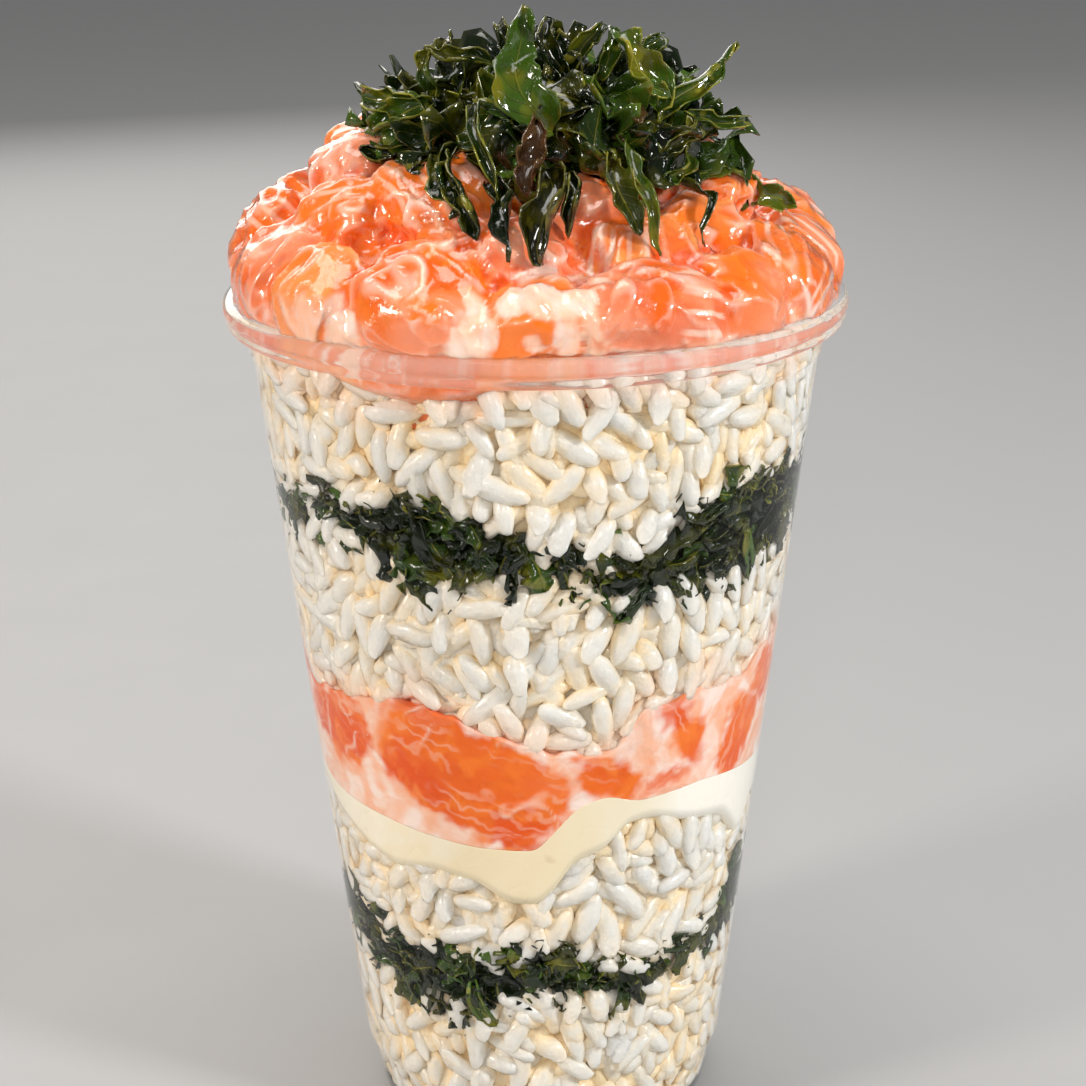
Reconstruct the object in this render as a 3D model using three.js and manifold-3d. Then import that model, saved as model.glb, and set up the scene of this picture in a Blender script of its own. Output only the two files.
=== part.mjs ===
// A sushi cup: a clear tumbler filled with layers of rice, shredded greens, cream sauce and salmon in
// cream, heaped with diced salmon above the rim and crowned with a tangle of crisp leaves.
// Millimetres, +Z up. The origin is the middle of the foot, and the shown side faces -Y.
// A bearing is an angle round the cup, counted from the front (-Y) towards +X.

import * as THREE from "three";
import { mergeVertices } from "three/addons/utils/BufferGeometryUtils.js";
import Module from "manifold-3d";

const wasm = await Module();
wasm.setup();

// ---- Driving dimensions ----

const SEGMENTS = 36; // facets round the cup and its layers
const CLEARANCE = 0.3; // free gap between neighbouring pieces
const WELD = 1e-3; // points closer than this are one point

const CUP_HEIGHT = 140;
const RIM_RADIUS = 49;
const RIM_HEIGHT = 4.2; // from the lip's lower edge to the top of the rolled rim
const WALL = 0.8;
const FLOOR_TOP = 2.2;
const FOOT_RADIUS = 28.6;
const STEP_HEIGHT = 9.8; // the stacking ledge above the foot
const STEP_RADIUS = 31.1;
const STEP_DEPTH = 0.9;
const SHOULDER_HEIGHT = 131; // the fine ledge under the rim
const SHOULDER_RADIUS = 44.7;
const SHOULDER_DEPTH = 0.5;
const LIP_FLARE = 0.6; // how far the mouth opens over the rim's top edge
const LIP_DROP = 0.8; // depth of that rounding

const GRAIN = { length: 8.2, width: 3.7 }; // one cooked grain of rice
const GRAIN_PROUD = 1.4; // how far grains stand out of a layer's core
const LEAF_PROUD = 1.8; // depth of the ruffles round a greens layer
const RUFFLES = 13;
const LEAF_SCRAP = { length: 9, thickness: 0.9 };

const HEAP = {
  rise: 20.5, // height of the salmon heap's middle above the rim
  reach: 49, // radius at which the heap meets the rim
  leanX: -0.2, // share by which it stands higher on the left
  leanY: 0.45, // share by which it stands lower at the front
  edgePower: 2.2,
  fullness: 0.8,
};
const DICE_DEPTH = 10; // thickness of a piece of diced salmon

// The diced salmon that shows from the front: bearing and radius of its middle, length and width, its turn
// in the heap's surface, and how far its middle stands out of that surface.
const FRONT_DICE = [
  { bearing: -35, radius: 26, length: 18, width: 15, turn: -30, lift: 1.5 },
  { bearing: -78, radius: 28.5, length: 13, width: 10, turn: 60, lift: 1 },
  { bearing: -58, radius: 34.5, length: 15, width: 11, turn: 25, lift: 0 },
  { bearing: -64, radius: 44, length: 13, width: 12, turn: 80, lift: -0.5 },
  { bearing: -86, radius: 42.5, length: 14, width: 12, turn: 20, lift: 0 },
  { bearing: -45, radius: 44, length: 13, width: 12, turn: 75, lift: -0.5 },
  { bearing: -23, radius: 42, length: 17, width: 15, turn: -35, lift: -0.5 },
  { bearing: -8, radius: 33, length: 18, width: 11, turn: 5, lift: -0.5 },
  { bearing: 20, radius: 24.5, length: 13, width: 12, turn: 80, lift: 0 },
  { bearing: 0, radius: 43.5, length: 13, width: 10, turn: 10, lift: -1 },
  { bearing: 22, radius: 43.5, length: 20, width: 11, turn: -5, lift: 0 },
  { bearing: 28, radius: 33.5, length: 17, width: 11, turn: 15, lift: -0.5 },
  { bearing: 43, radius: 43.5, length: 12, width: 11, turn: 80, lift: 0 },
  { bearing: 62, radius: 43.5, length: 16, width: 13, turn: 40, lift: 0.5 },
  { bearing: 53, radius: 32, length: 14, width: 10, turn: 0, lift: 0 },
  { bearing: 76, radius: 28.5, length: 13, width: 12, turn: 70, lift: 2.5 },
  { bearing: 84, radius: 42.5, length: 13, width: 12, turn: 30, lift: 0 },
];
// The dice round the rest of the heap follow the same pattern.
const BACK_DICE_ROWS = [
  { radius: 43, from: 105, to: 252, count: 7 },
  { radius: 29, from: 110, to: 240, count: 4 },
];

const CROWN = { x: 2, y: 0, z: 162.5, radiusX: 25, radiusY: 22, radiusZ: 10.5 };
const CROWN_LEAF = { count: 17, length: 17, width: 8.5, thickness: 1 };
// Leaves that hang from the crown over the heap: bearing seen from the crown's middle, and length.
const HANGING_LEAVES = [
  { bearing: -26, length: 19 },
  { bearing: -4, length: 24 },
  { bearing: 10, length: 20 },
  { bearing: 34, length: 22 },
  { bearing: 75, length: 19 },
];

// Heights of the seams between layers where they meet the wall, every 30 degrees of bearing from the front.
const SEAMS = {
  lowerGreensBottom: [30, 30, 31.5, 34, 31, 28, 30, 32, 31, 33, 29.5, 27],
  lowerGreensTop: [40, 35.5, 38.5, 46, 42, 38, 39, 40, 41, 43, 40.5, 38],
  creamBottom: [48.5, 61.5, 55, 54, 56, 54, 57, 53, 57, 60, 55, 53],
  creamTop: [60, 67, 65, 63, 64, 62, 65, 63, 62, 65, 61.3, 60.2],
  salmonTop: [76, 82.5, 84, 88, 84, 80, 82, 84, 86, 87, 80, 83],
  upperGreensBottom: [106, 101.5, 103, 106, 105, 103, 105, 104, 105, 108, 108, 104.5],
  upperGreensTop: [111, 112, 117, 113, 112, 113, 114, 112, 112, 113, 114, 116.5],
  heapBottom: [130.2, 130.5, 129.5, 130.5, 130.4, 130, 130.5, 130.2, 130.4, 130, 128.8, 128.5],
};

// ---- Small tools ----

const lerp = THREE.MathUtils.lerp;
const radians = THREE.MathUtils.degToRad;
const GOLDEN_TURN = radians(137.508);

// A repeatable number from 0 to 1 for the n-th draw of a series.
function chance(n, series) {
  const value = Math.sin(n * 12.9898 + series * 78.233) * 43758.5453;
  return value - Math.floor(value);
}

const spread = (n, series, low, high) => lerp(low, high, chance(n, series));

function polar(bearing, radius, z) {
  return new THREE.Vector3(radius * Math.sin(bearing), -radius * Math.cos(bearing), z);
}

// Joins a ring of heights into one smooth closed curve round the cup.
function seam(heights) {
  return (bearing) => {
    const place = (bearing / (2 * Math.PI)) * heights.length;
    const at = (i) => heights[((i % heights.length) + heights.length) % heights.length];
    const i = Math.floor(place);
    const share = (1 - Math.cos((place - i) * Math.PI)) / 2;
    return lerp(at(i), at(i + 1), share);
  };
}

const seams = Object.fromEntries(Object.entries(SEAMS).map(([name, heights]) => [name, seam(heights)]));

// The height of a seam in the cup's middle. From there it runs straight out to the wall.
const middleHeight = (heights) => (heights(0) + heights(Math.PI)) / 2;

// A point on a seam, short of the wall by a depth, and raised or lowered by an offset.
function seamPoint(heights, bearing, depth, offset) {
  const reach = contentRadius(heights(bearing));
  const share = (reach - depth) / reach;
  return polar(bearing, reach * share, lerp(middleHeight(heights), heights(bearing), share) + offset);
}

// ---- Radii of the cup ----

function outerRadius(z) {
  if (z < STEP_HEIGHT - 0.4) return lerp(FOOT_RADIUS + 0.4, STEP_RADIUS - STEP_DEPTH, z / STEP_HEIGHT);
  if (z < SHOULDER_HEIGHT) {
    return lerp(STEP_RADIUS, SHOULDER_RADIUS, (z - STEP_HEIGHT) / (SHOULDER_HEIGHT - STEP_HEIGHT));
  }
  return lerp(SHOULDER_RADIUS + SHOULDER_DEPTH, SHOULDER_RADIUS + 1, (z - SHOULDER_HEIGHT) / RIM_HEIGHT / 2);
}

const contentRadius = (z) => outerRadius(z) - WALL - CLEARANCE;
const RIM_BOTTOM = CUP_HEIGHT - RIM_HEIGHT;
const NECK_RADIUS = outerRadius(RIM_BOTTOM);

// ---- Solids ----

function solidFrom(geometry) {
  const bare = geometry.clone();
  bare.deleteAttribute("normal");
  bare.deleteAttribute("uv");
  const merged = mergeVertices(bare, WELD);
  return new wasm.Manifold(
    new wasm.Mesh({
      numProp: 3,
      vertProperties: merged.attributes.position.array,
      triVerts: new Uint32Array(merged.index.array),
    }),
  );
}

function geometryFrom(solid) {
  const mesh = solid.getMesh();
  const geometry = new THREE.BufferGeometry();
  geometry.setAttribute("position", new THREE.BufferAttribute(new Float32Array(mesh.vertProperties), 3));
  geometry.setIndex(new THREE.BufferAttribute(new Uint32Array(mesh.triVerts), 1));
  const flat = geometry.toNonIndexed();
  flat.computeVertexNormals();
  return flat;
}

// The largest of a solid's separate bodies: loose scraps are dropped.
function mainBody(solid) {
  return solid.decompose().reduce((best, body) => (body.volume() > best.volume() ? body : best));
}

function join(core, pieces) {
  return pieces.reduce((whole, piece) => whole.add(piece), core);
}

function cut(whole, pieces) {
  return pieces.reduce((left, piece) => left.subtract(piece), whole);
}

// A closed surface through rings of points, with a pole at each end. The rings run from the lower pole,
// round the outside, to the upper pole.
function ringSolid(lowerPole, rings, upperPole) {
  const points = [lowerPole, ...rings.flat(), upperPole];
  const count = rings[0].length;
  const last = points.length - 1;
  const faces = [];
  for (let i = 0; i < count; i++) {
    const j = (i + 1) % count;
    faces.push(0, 1 + j, 1 + i);
    for (let k = 0; k < rings.length - 1; k++) {
      const here = 1 + k * count;
      const next = here + count;
      faces.push(here + i, here + j, next + j, here + i, next + j, next + i);
    }
    const top = 1 + (rings.length - 1) * count;
    faces.push(top + i, top + j, last);
  }
  const geometry = new THREE.BufferGeometry().setFromPoints(points);
  geometry.setIndex(faces);
  return solidFrom(geometry);
}

function ringOf(place) {
  return Array.from({ length: SEGMENTS }, (_, i) => place((i / SEGMENTS) * 2 * Math.PI));
}

// ---- The cup ----

function cupProfile() {
  const foot = FOOT_RADIUS;
  const outside = [
    [0, 1.3],
    [foot - 4.2, 1.3],
    [foot - 3.2, 0],
    [foot, 0],
    [STEP_RADIUS - STEP_DEPTH, STEP_HEIGHT - 0.5],
    [STEP_RADIUS, STEP_HEIGHT],
    [SHOULDER_RADIUS, SHOULDER_HEIGHT],
    [SHOULDER_RADIUS + SHOULDER_DEPTH, SHOULDER_HEIGHT + 0.5],
    [NECK_RADIUS, RIM_BOTTOM + 2.6],
  ];
  const rolledRim = [
    [RIM_RADIUS - 1.2, RIM_BOTTOM + 3],
    [RIM_RADIUS - 1.2, RIM_BOTTOM + 0.6],
    [RIM_RADIUS - 2.4, RIM_BOTTOM],
    [RIM_RADIUS - 0.8, RIM_BOTTOM],
    [RIM_RADIUS - 0.4, RIM_BOTTOM + 0.8],
    [RIM_RADIUS - 0.6, RIM_BOTTOM + 1.7],
    [RIM_RADIUS, RIM_BOTTOM + 2.4],
    [RIM_RADIUS - 0.2, RIM_BOTTOM + 3.6],
    [RIM_RADIUS - 1.1, CUP_HEIGHT],
    [NECK_RADIUS + LIP_FLARE, CUP_HEIGHT],
    [NECK_RADIUS - WALL, CUP_HEIGHT - LIP_DROP],
  ];
  const inside = [
    [SHOULDER_RADIUS + SHOULDER_DEPTH - WALL, SHOULDER_HEIGHT + 0.5],
    [SHOULDER_RADIUS - WALL, SHOULDER_HEIGHT],
    [STEP_RADIUS - WALL, STEP_HEIGHT],
    [STEP_RADIUS - STEP_DEPTH - WALL, STEP_HEIGHT - 0.5],
    [outerRadius(FLOOR_TOP) - WALL, FLOOR_TOP],
    [0, FLOOR_TOP],
  ];
  return [...outside, ...rolledRim, ...inside].map(([r, z]) => new THREE.Vector2(r, z));
}

// A profile turned round the cup's own upright axis.
function lathe(profile) {
  const geometry = new THREE.LatheGeometry(profile, SEGMENTS);
  geometry.rotateX(Math.PI / 2);
  return geometry;
}

// ---- The layers ----

// A layer between two seams, which fills the cup out to a depth short of the wall.
function layerCore(lower, upper, depth, sideHeights = []) {
  const gap = CLEARANCE / 2;
  const rings = [
    ringOf((bearing) => seamPoint(lower, bearing, depth, gap)),
    ...sideHeights.map((z) => ringOf((bearing) => polar(bearing, contentRadius(z) - depth, z))),
    ringOf((bearing) => seamPoint(upper, bearing, depth, -gap)),
  ];
  const bottom = polar(0, 0, middleHeight(lower) + gap);
  const top = polar(0, 0, middleHeight(upper) - gap);
  return ringSolid(bottom, rings, top);
}

// Stands a piece on the wall side of a layer: x runs round the cup, y points inwards and z up the wall.
function onWall(bearing, z, depth, tilt) {
  const wallLean = Math.atan2(SHOULDER_RADIUS - STEP_RADIUS, SHOULDER_HEIGHT - STEP_HEIGHT);
  const place = polar(bearing, contentRadius(z) - depth, z);
  return new THREE.Matrix4()
    .makeTranslation(place)
    .multiply(new THREE.Matrix4().makeRotationZ(bearing))
    .multiply(new THREE.Matrix4().makeRotationX(wallLean))
    .multiply(new THREE.Matrix4().makeRotationY(tilt));
}

// Grains spread evenly over the side of a layer, each wholly between its two seams.
function grains(lower, upper, count, series) {
  return Array.from({ length: count }, (_, i) => {
    const bearing = i * GOLDEN_TURN;
    const size = spread(i, series, 0.88, 1.08);
    const long = (GRAIN.length / 2) * size;
    const wide = (GRAIN.width / 2) * size;
    const tilt = spread(i, series + 1, -1.2, 1.2);
    const halfHeight = Math.abs(long * Math.sin(tilt)) + wide + CLEARANCE;
    const low = lower(bearing) + halfHeight;
    const high = upper(bearing) - halfHeight;
    if (high < low) return null;
    const z = lerp(low, high, (i + 0.5) / count);
    const grain = new THREE.SphereGeometry(1, 5, 4).rotateZ(Math.PI / 2).scale(long, wide, wide);
    return solidFrom(grain.applyMatrix4(onWall(bearing, z, wide + 0.15, tilt)));
  }).filter(Boolean);
}

function riceLayer(lower, upper, count, series) {
  const core = layerCore(lower, upper, GRAIN_PROUD);
  return mainBody(join(core, grains(lower, upper, count, series)));
}

// The bottom layer also fills the foot, below the stacking ledge.
function bottomRice(count, series) {
  const aboveFloor = () => FLOOR_TOP + CLEARANCE;
  const aboveLedge = () => STEP_HEIGHT;
  const ledgeSides = [STEP_HEIGHT - 0.9, STEP_HEIGHT + 0.4];
  const core = layerCore(aboveFloor, seams.lowerGreensBottom, GRAIN_PROUD, ledgeSides);
  return mainBody(join(core, grains(aboveLedge, seams.lowerGreensBottom, count, series)));
}

// A thin wavy strip of leaf that runs along x from its root: both faces share one set of edges.
function leafStrip({ length, width, thickness, curl = 0, wave = 0, roll = 0, spans = 3 }) {
  const points = [];
  for (let i = 0; i <= spans; i++) {
    const share = i / spans;
    const half = (width / 2) * (0.25 + 0.75 * Math.sin(Math.PI * (0.15 + 0.8 * share)));
    const twist = roll * Math.sin(share * 5);
    const rise = (length * curl * share ** 2) / 2 + wave * Math.sin(share * 7);
    for (const [side, face] of [[-1, -1], [1, -1], [1, 1], [-1, 1]]) {
      const y = side * half * Math.cos(twist);
      const z = rise + side * half * Math.sin(twist) + (face * thickness) / 2;
      points.push(new THREE.Vector3(length * share, y, z));
    }
  }
  const faces = [0, 2, 1, 0, 3, 2];
  for (let i = 0; i < spans; i++) {
    for (let k = 0; k < 4; k++) {
      const a = i * 4 + k;
      const b = i * 4 + ((k + 1) % 4);
      faces.push(a, b, b + 4, a, b + 4, a + 4);
    }
  }
  const end = spans * 4;
  faces.push(end, end + 1, end + 2, end, end + 2, end + 3);
  return new THREE.BufferGeometry().setFromPoints(points).setIndex(faces);
}

// Scraps of leaf pressed flat against the wall side of a greens layer.
function leafScraps(lower, upper, count, series) {
  return Array.from({ length: count }, (_, i) => {
    const bearing = ((i + spread(i, series, 0.2, 0.8)) / count) * 2 * Math.PI;
    const low = lower(bearing);
    const high = upper(bearing);
    const width = Math.min(5, (high - low) * 0.6);
    const tilt = spread(i, series + 1, -0.2, 0.2);
    const scrap = { length: LEAF_SCRAP.length, width, thickness: LEAF_SCRAP.thickness, spans: 2 };
    const strip = leafStrip(scrap).translate(-LEAF_SCRAP.length / 2, 0, 0).rotateX(Math.PI / 2);
    return solidFrom(strip.applyMatrix4(onWall(bearing, (low + high) / 2, LEAF_SCRAP.thickness, tilt)));
  });
}

// Packed shreds of leaf: their edge is ruffled round the cup, and some scraps lie against the wall.
function greensLayer(lower, upper, count, series) {
  const gap = CLEARANCE / 2 + 0.1;
  const middle = (bearing) => (lower(bearing) + upper(bearing)) / 2;
  const edge = (heights, offset, phase) =>
    ringOf((bearing) => {
      const ruffle = LEAF_PROUD * (0.55 + 0.45 * Math.sin(RUFFLES * bearing + phase));
      return seamPoint(heights, bearing, ruffle, offset);
    });
  const rings = [edge(lower, gap, 0), edge(middle, 0, 2), edge(upper, -gap, 4)];
  const bottom = polar(0, 0, middleHeight(lower) + gap);
  const top = polar(0, 0, middleHeight(upper) - gap);
  const core = ringSolid(bottom, rings, top);
  return mainBody(join(core, leafScraps(lower, upper, count, series)));
}

// ---- The salmon heap ----

function heapHeight(x, y) {
  const out = Math.min(1, Math.hypot(x, y) / HEAP.reach);
  const lean = 1 + (HEAP.leanX * x + HEAP.leanY * y) / HEAP.reach;
  return CUP_HEIGHT + 0.7 + HEAP.rise * (1 - out ** HEAP.edgePower) ** HEAP.fullness * lean;
}

function heapCore() {
  const dome = (radius) =>
    ringOf((bearing) => {
      const place = polar(bearing, radius, 0);
      return place.setZ(heapHeight(place.x, place.y));
    });
  const bottom = seams.heapBottom;
  const bottomRing = ringOf((bearing) => seamPoint(bottom, bearing, 0, CLEARANCE / 2));
  const neck = (z) => ringOf((bearing) => polar(bearing, contentRadius(z), z));
  const overhang = ringOf((bearing) => polar(bearing, HEAP.reach - 2.2, CUP_HEIGHT + 0.4));
  const rings = [bottomRing, neck(CUP_HEIGHT - 1), overhang, dome(42), dome(24)];
  const lowest = polar(0, 0, middleHeight(bottom) + CLEARANCE / 2);
  return ringSolid(lowest, rings, polar(0, 0, heapHeight(0, 0)));
}

// The direction in which the heap's surface faces.
function heapNormal(x, y) {
  const step = 0.5;
  const slopeX = (heapHeight(x + step, y) - heapHeight(x - step, y)) / (2 * step);
  const slopeY = (heapHeight(x, y + step) - heapHeight(x, y - step)) / (2 * step);
  return new THREE.Vector3(-slopeX, -slopeY, 1).normalize();
}

function backDice() {
  const rows = BACK_DICE_ROWS.map(({ radius, from, to, count }) =>
    Array.from({ length: count }, (_, i) => ({
      bearing: lerp(from, to, i / (count - 1)) + spread(i, radius, -3, 3),
      radius: radius + spread(i, radius + 1, -0.8, 0.8),
      length: spread(i, radius + 2, 15, 20),
      width: spread(i, radius + 3, 11, 14),
      turn: spread(i, radius + 4, -35, 35),
      lift: spread(i, radius + 5, -0.7, 1),
    })),
  );
  return rows.flat();
}

// A piece of diced salmon: a block with rounded, uneven corners, bedded in the heap with its broad face along
// the surface. Grown by a clearance, it is the pocket that it needs.
function salmonDie({ bearing, radius, length, width, turn, lift }, index, grow = 0) {
  const block = new THREE.BoxGeometry(2, 2, 2, 2, 2, 2);
  const corners = block.attributes.position;
  const corner = new THREE.Vector3();
  for (let i = 0; i < corners.count; i++) {
    corner.fromBufferAttribute(corners, i);
    const key = corner.x * 9 + corner.y * 3 + corner.z;
    const rounded = corner.clone().normalize().multiplyScalar(1.15);
    corner.lerp(rounded, 0.7).multiplyScalar(spread(key + index * 27, 5, 0.9, 1.08));
    corners.setXYZ(i, corner.x, corner.y, corner.z);
  }
  block.scale(length / 2 + grow, width / 2 + grow, DICE_DEPTH / 2 + grow).rotateZ(radians(turn));

  const place = polar(radians(bearing), radius, 0);
  const outwards = heapNormal(place.x, place.y);
  const along = new THREE.Vector3(Math.cos(radians(bearing)), Math.sin(radians(bearing)), 0);
  const across = outwards.clone().cross(along).normalize();
  place.setZ(heapHeight(place.x, place.y)).addScaledVector(outwards, lift);
  const stand = new THREE.Matrix4().makeBasis(across.clone().cross(outwards), across, outwards);
  return solidFrom(block.applyMatrix4(stand.setPosition(place)));
}

// The space that the rim takes up, with its clearance: nothing of the heap may reach into it.
function rimKeepOut() {
  const inner = NECK_RADIUS - WALL - CLEARANCE;
  const beyond = RIM_RADIUS + 30;
  const bottom = SHOULDER_HEIGHT - 20;
  const profile = [
    [inner, bottom],
    [beyond, bottom],
    [beyond, CUP_HEIGHT + CLEARANCE],
    [NECK_RADIUS + LIP_FLARE - CLEARANCE, CUP_HEIGHT + CLEARANCE],
    [inner, CUP_HEIGHT - LIP_DROP - CLEARANCE],
    [inner, bottom],
  ].map(([r, z]) => new THREE.Vector2(r, z));
  return solidFrom(lathe(profile));
}

// The heap and the dice bedded in it. Each die keeps clear of the rim and of the dice before it.
function salmonHeap() {
  const dice = [...FRONT_DICE, ...backDice()];
  const pockets = dice.map((die, i) => salmonDie(die, i, CLEARANCE));
  const rim = rimKeepOut();
  const clearOf = (solid, neighbours) => mainBody(cut(solid.subtract(rim), neighbours));
  const pieces = dice.map((die, i) => clearOf(salmonDie(die, i), pockets.slice(0, i)));
  return { core: clearOf(heapCore(), pockets), pieces, outline: join(heapCore(), pockets) };
}

// ---- The crown of leaves ----

const crownMiddle = new THREE.Vector3(CROWN.x, CROWN.y, CROWN.z);
const crownSize = new THREE.Vector3(CROWN.radiusX, CROWN.radiusY, CROWN.radiusZ);

function crownCore() {
  const ball = new THREE.SphereGeometry(1, 12, 7).rotateX(Math.PI / 2);
  const points = ball.attributes.position;
  const point = new THREE.Vector3();
  for (let i = 0; i < points.count; i++) {
    point.fromBufferAttribute(points, i);
    const { x, y, z } = point;
    const bump = 0.1 * Math.sin(7 * x + 4 * y) + 0.08 * Math.cos(8 * y - 5 * z);
    point.multiply(crownSize).multiplyScalar(1 + bump).add(crownMiddle);
    points.setXYZ(i, point.x, point.y, point.z);
  }
  return solidFrom(ball);
}

// One leaf rooted in the crown's core, at a bearing and a rise above its middle. It heads along the core's
// surface, 0 level and 90 degrees upwards, and its pitch lifts it off that surface.
function crownLeaf({ bearing, rise, heading, pitch, ...shape }) {
  const onBall = polar(bearing, Math.cos(rise), Math.sin(rise));
  const outwards = onBall.clone().divide(crownSize).normalize();
  const level = new THREE.Vector3(Math.cos(bearing), Math.sin(bearing), 0);
  const upwards = outwards.clone().cross(level);
  const along = level.multiplyScalar(Math.cos(heading)).addScaledVector(upwards, Math.sin(heading));
  const x = along.clone().multiplyScalar(Math.cos(pitch)).addScaledVector(outwards, Math.sin(pitch));
  const z = outwards.clone().multiplyScalar(Math.cos(pitch)).addScaledVector(along, -Math.sin(pitch));
  const root = onBall.multiply(crownSize).multiplyScalar(0.86).add(crownMiddle);
  const stand = new THREE.Matrix4().makeBasis(x, z.clone().cross(x), z).setPosition(root);
  const strip = leafStrip({ thickness: CROWN_LEAF.thickness, wave: 0.6, roll: 0.6, spans: 3, ...shape });
  return solidFrom(strip.applyMatrix4(stand));
}

function tangledLeaves() {
  const { count, length, width } = CROWN_LEAF;
  return Array.from({ length: count }, (_, i) =>
    crownLeaf({
      bearing: i * GOLDEN_TURN,
      rise: Math.asin(lerp(0, 0.97, (i + 0.5) / count)),
      heading: spread(i, 21, -0.6, 3.6),
      pitch: spread(i, 22, 0.3, 0.8),
      length: length * spread(i, 23, 0.75, 1.15),
      width: width * spread(i, 24, 0.7, 1.2),
      curl: spread(i, 25, -0.7, 0.5),
    }),
  );
}

function hangingLeaves() {
  return HANGING_LEAVES.map(({ bearing, length }) => {
    const path = { bearing: radians(bearing), rise: 0.4, heading: -Math.PI / 2, pitch: 0.4, curl: -0.2 };
    return crownLeaf({ ...path, length, width: CROWN_LEAF.width });
  });
}

function leafCrown(heapOutline) {
  const tangle = join(crownCore(), [...tangledLeaves(), ...hangingLeaves()]);
  return mainBody(tangle.subtract(heapOutline.translate([0, 0, CLEARANCE])));
}

// ---- The assembled cup ----

const plastic = new THREE.MeshStandardMaterial({
  color: 0xe6ebee, roughness: 0.08, metalness: 0, transparent: true, opacity: 0.25,
});
const rice = new THREE.MeshStandardMaterial({ color: 0xefe6d6, roughness: 0.45, metalness: 0 });
const greens = new THREE.MeshStandardMaterial({ color: 0x1c2f12, roughness: 0.3, metalness: 0 });
const cream = new THREE.MeshStandardMaterial({ color: 0xf3e0ba, roughness: 0.35, metalness: 0 });
const salmon = new THREE.MeshStandardMaterial({ color: 0xe8764a, roughness: 0.3, metalness: 0 });

const sushiCup = new THREE.Group();
sushiCup.name = "sushi_cup";

function addPart(name, geometry, material) {
  const mesh = new THREE.Mesh(geometry, material);
  mesh.name = name;
  sushiCup.add(mesh);
}

// Joins and cuts leave slivers finer than a weld, so a solid is welded before its main body is taken.
function addSolid(name, solid, material) {
  const welded = solidFrom(geometryFrom(solid));
  addPart(name, geometryFrom(mainBody(welded)), material);
}

addPart("cup", lathe(cupProfile()), plastic);
addSolid("rice_bottom", bottomRice(14, 31), rice);
addSolid("greens_lower", greensLayer(seams.lowerGreensBottom, seams.lowerGreensTop, 7, 41), greens);
addSolid("rice_lower", riceLayer(seams.lowerGreensTop, seams.creamBottom, 14, 33), rice);
addSolid("cream_sauce", layerCore(seams.creamBottom, seams.creamTop, 0), cream);
addSolid("salmon_layer", layerCore(seams.creamTop, seams.salmonTop, 0), salmon);
addSolid("rice_upper", riceLayer(seams.salmonTop, seams.upperGreensBottom, 16, 35), rice);
addSolid("greens_upper", greensLayer(seams.upperGreensBottom, seams.upperGreensTop, 7, 44), greens);
addSolid("rice_top", riceLayer(seams.upperGreensTop, seams.heapBottom, 14, 37), rice);

const heap = salmonHeap();
addSolid("salmon_heap", heap.core, salmon);
for (const [i, piece] of heap.pieces.entries()) {
  addSolid(`salmon_die_${String(i + 1).padStart(2, "0")}`, piece, salmon);
}
addSolid("leaf_crown", leafCrown(heap.outline), greens);

export default sushiCup;
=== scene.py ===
"""Dresses a sushi cup: clear plastic, rice, crisp greens, cream, salmon in cream and a crown of leaves.

Metres, +Z up, the origin in the middle of the foot. A bearing is an angle round the cup, counted from the
front (-Y) towards +X. An inset is a depth inwards from the cup's inner wall.
"""

import math
import random

import bmesh
import bpy
import numpy as np
from mathutils import Matrix, Vector, noise
from mathutils.bvhtree import BVHTree
from mathutils.kdtree import KDTree


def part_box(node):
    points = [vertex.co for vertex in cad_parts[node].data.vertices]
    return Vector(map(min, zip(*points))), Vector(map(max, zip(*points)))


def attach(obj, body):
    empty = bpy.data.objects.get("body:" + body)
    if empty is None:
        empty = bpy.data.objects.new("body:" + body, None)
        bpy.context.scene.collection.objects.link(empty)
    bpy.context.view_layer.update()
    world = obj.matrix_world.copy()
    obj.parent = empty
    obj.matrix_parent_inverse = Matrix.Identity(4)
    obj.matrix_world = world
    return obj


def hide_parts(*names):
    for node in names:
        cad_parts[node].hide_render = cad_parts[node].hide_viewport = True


bl_info = {
    "name": "Sushi cup",
    "version": (1, 0, 0),
    "blender": (4, 5, 0),
    "location": "3D View > Sidebar > Sushi cup",
    "description": "Builds the visible pieces of a layered sushi cup over its packed solids",
    "category": "Object",
}

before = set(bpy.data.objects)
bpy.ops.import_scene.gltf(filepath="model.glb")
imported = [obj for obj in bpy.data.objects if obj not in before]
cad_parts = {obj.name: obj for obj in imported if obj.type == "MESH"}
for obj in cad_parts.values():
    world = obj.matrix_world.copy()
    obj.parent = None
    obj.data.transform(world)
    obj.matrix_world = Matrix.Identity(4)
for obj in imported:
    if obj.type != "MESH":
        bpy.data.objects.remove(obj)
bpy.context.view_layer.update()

# ---- Driving dimensions ----

MM = 0.001
TURN = 2 * math.pi
CUP_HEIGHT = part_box("cup")[1].z
RIM_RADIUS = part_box("cup")[1].x
WALL = 0.8 * MM
CONTACT = 0.05 * MM  # how far rice and leaves reach into the wall, so that no air shows between them
SAUCE_CONTACT = 0.04 * MM  # the same for cream and salmon, so that grains show in front of them
FLOOR_TOP = 2.2 * MM
RIM_BOTTOM = CUP_HEIGHT - 4.2 * MM
NECK_RADIUS = 45.5 * MM
WELD = 0.001 * MM  # points nearer each other than this are one
TINY = 1e-9

# The wall's outside from the foot to the rim: height and radius in millimetres.
WALL_LINE = ((0, 29.0), (9.3, 30.2), (9.8, 31.1), (131, 44.7), (131.5, 45.2), (140, 45.7))

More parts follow.
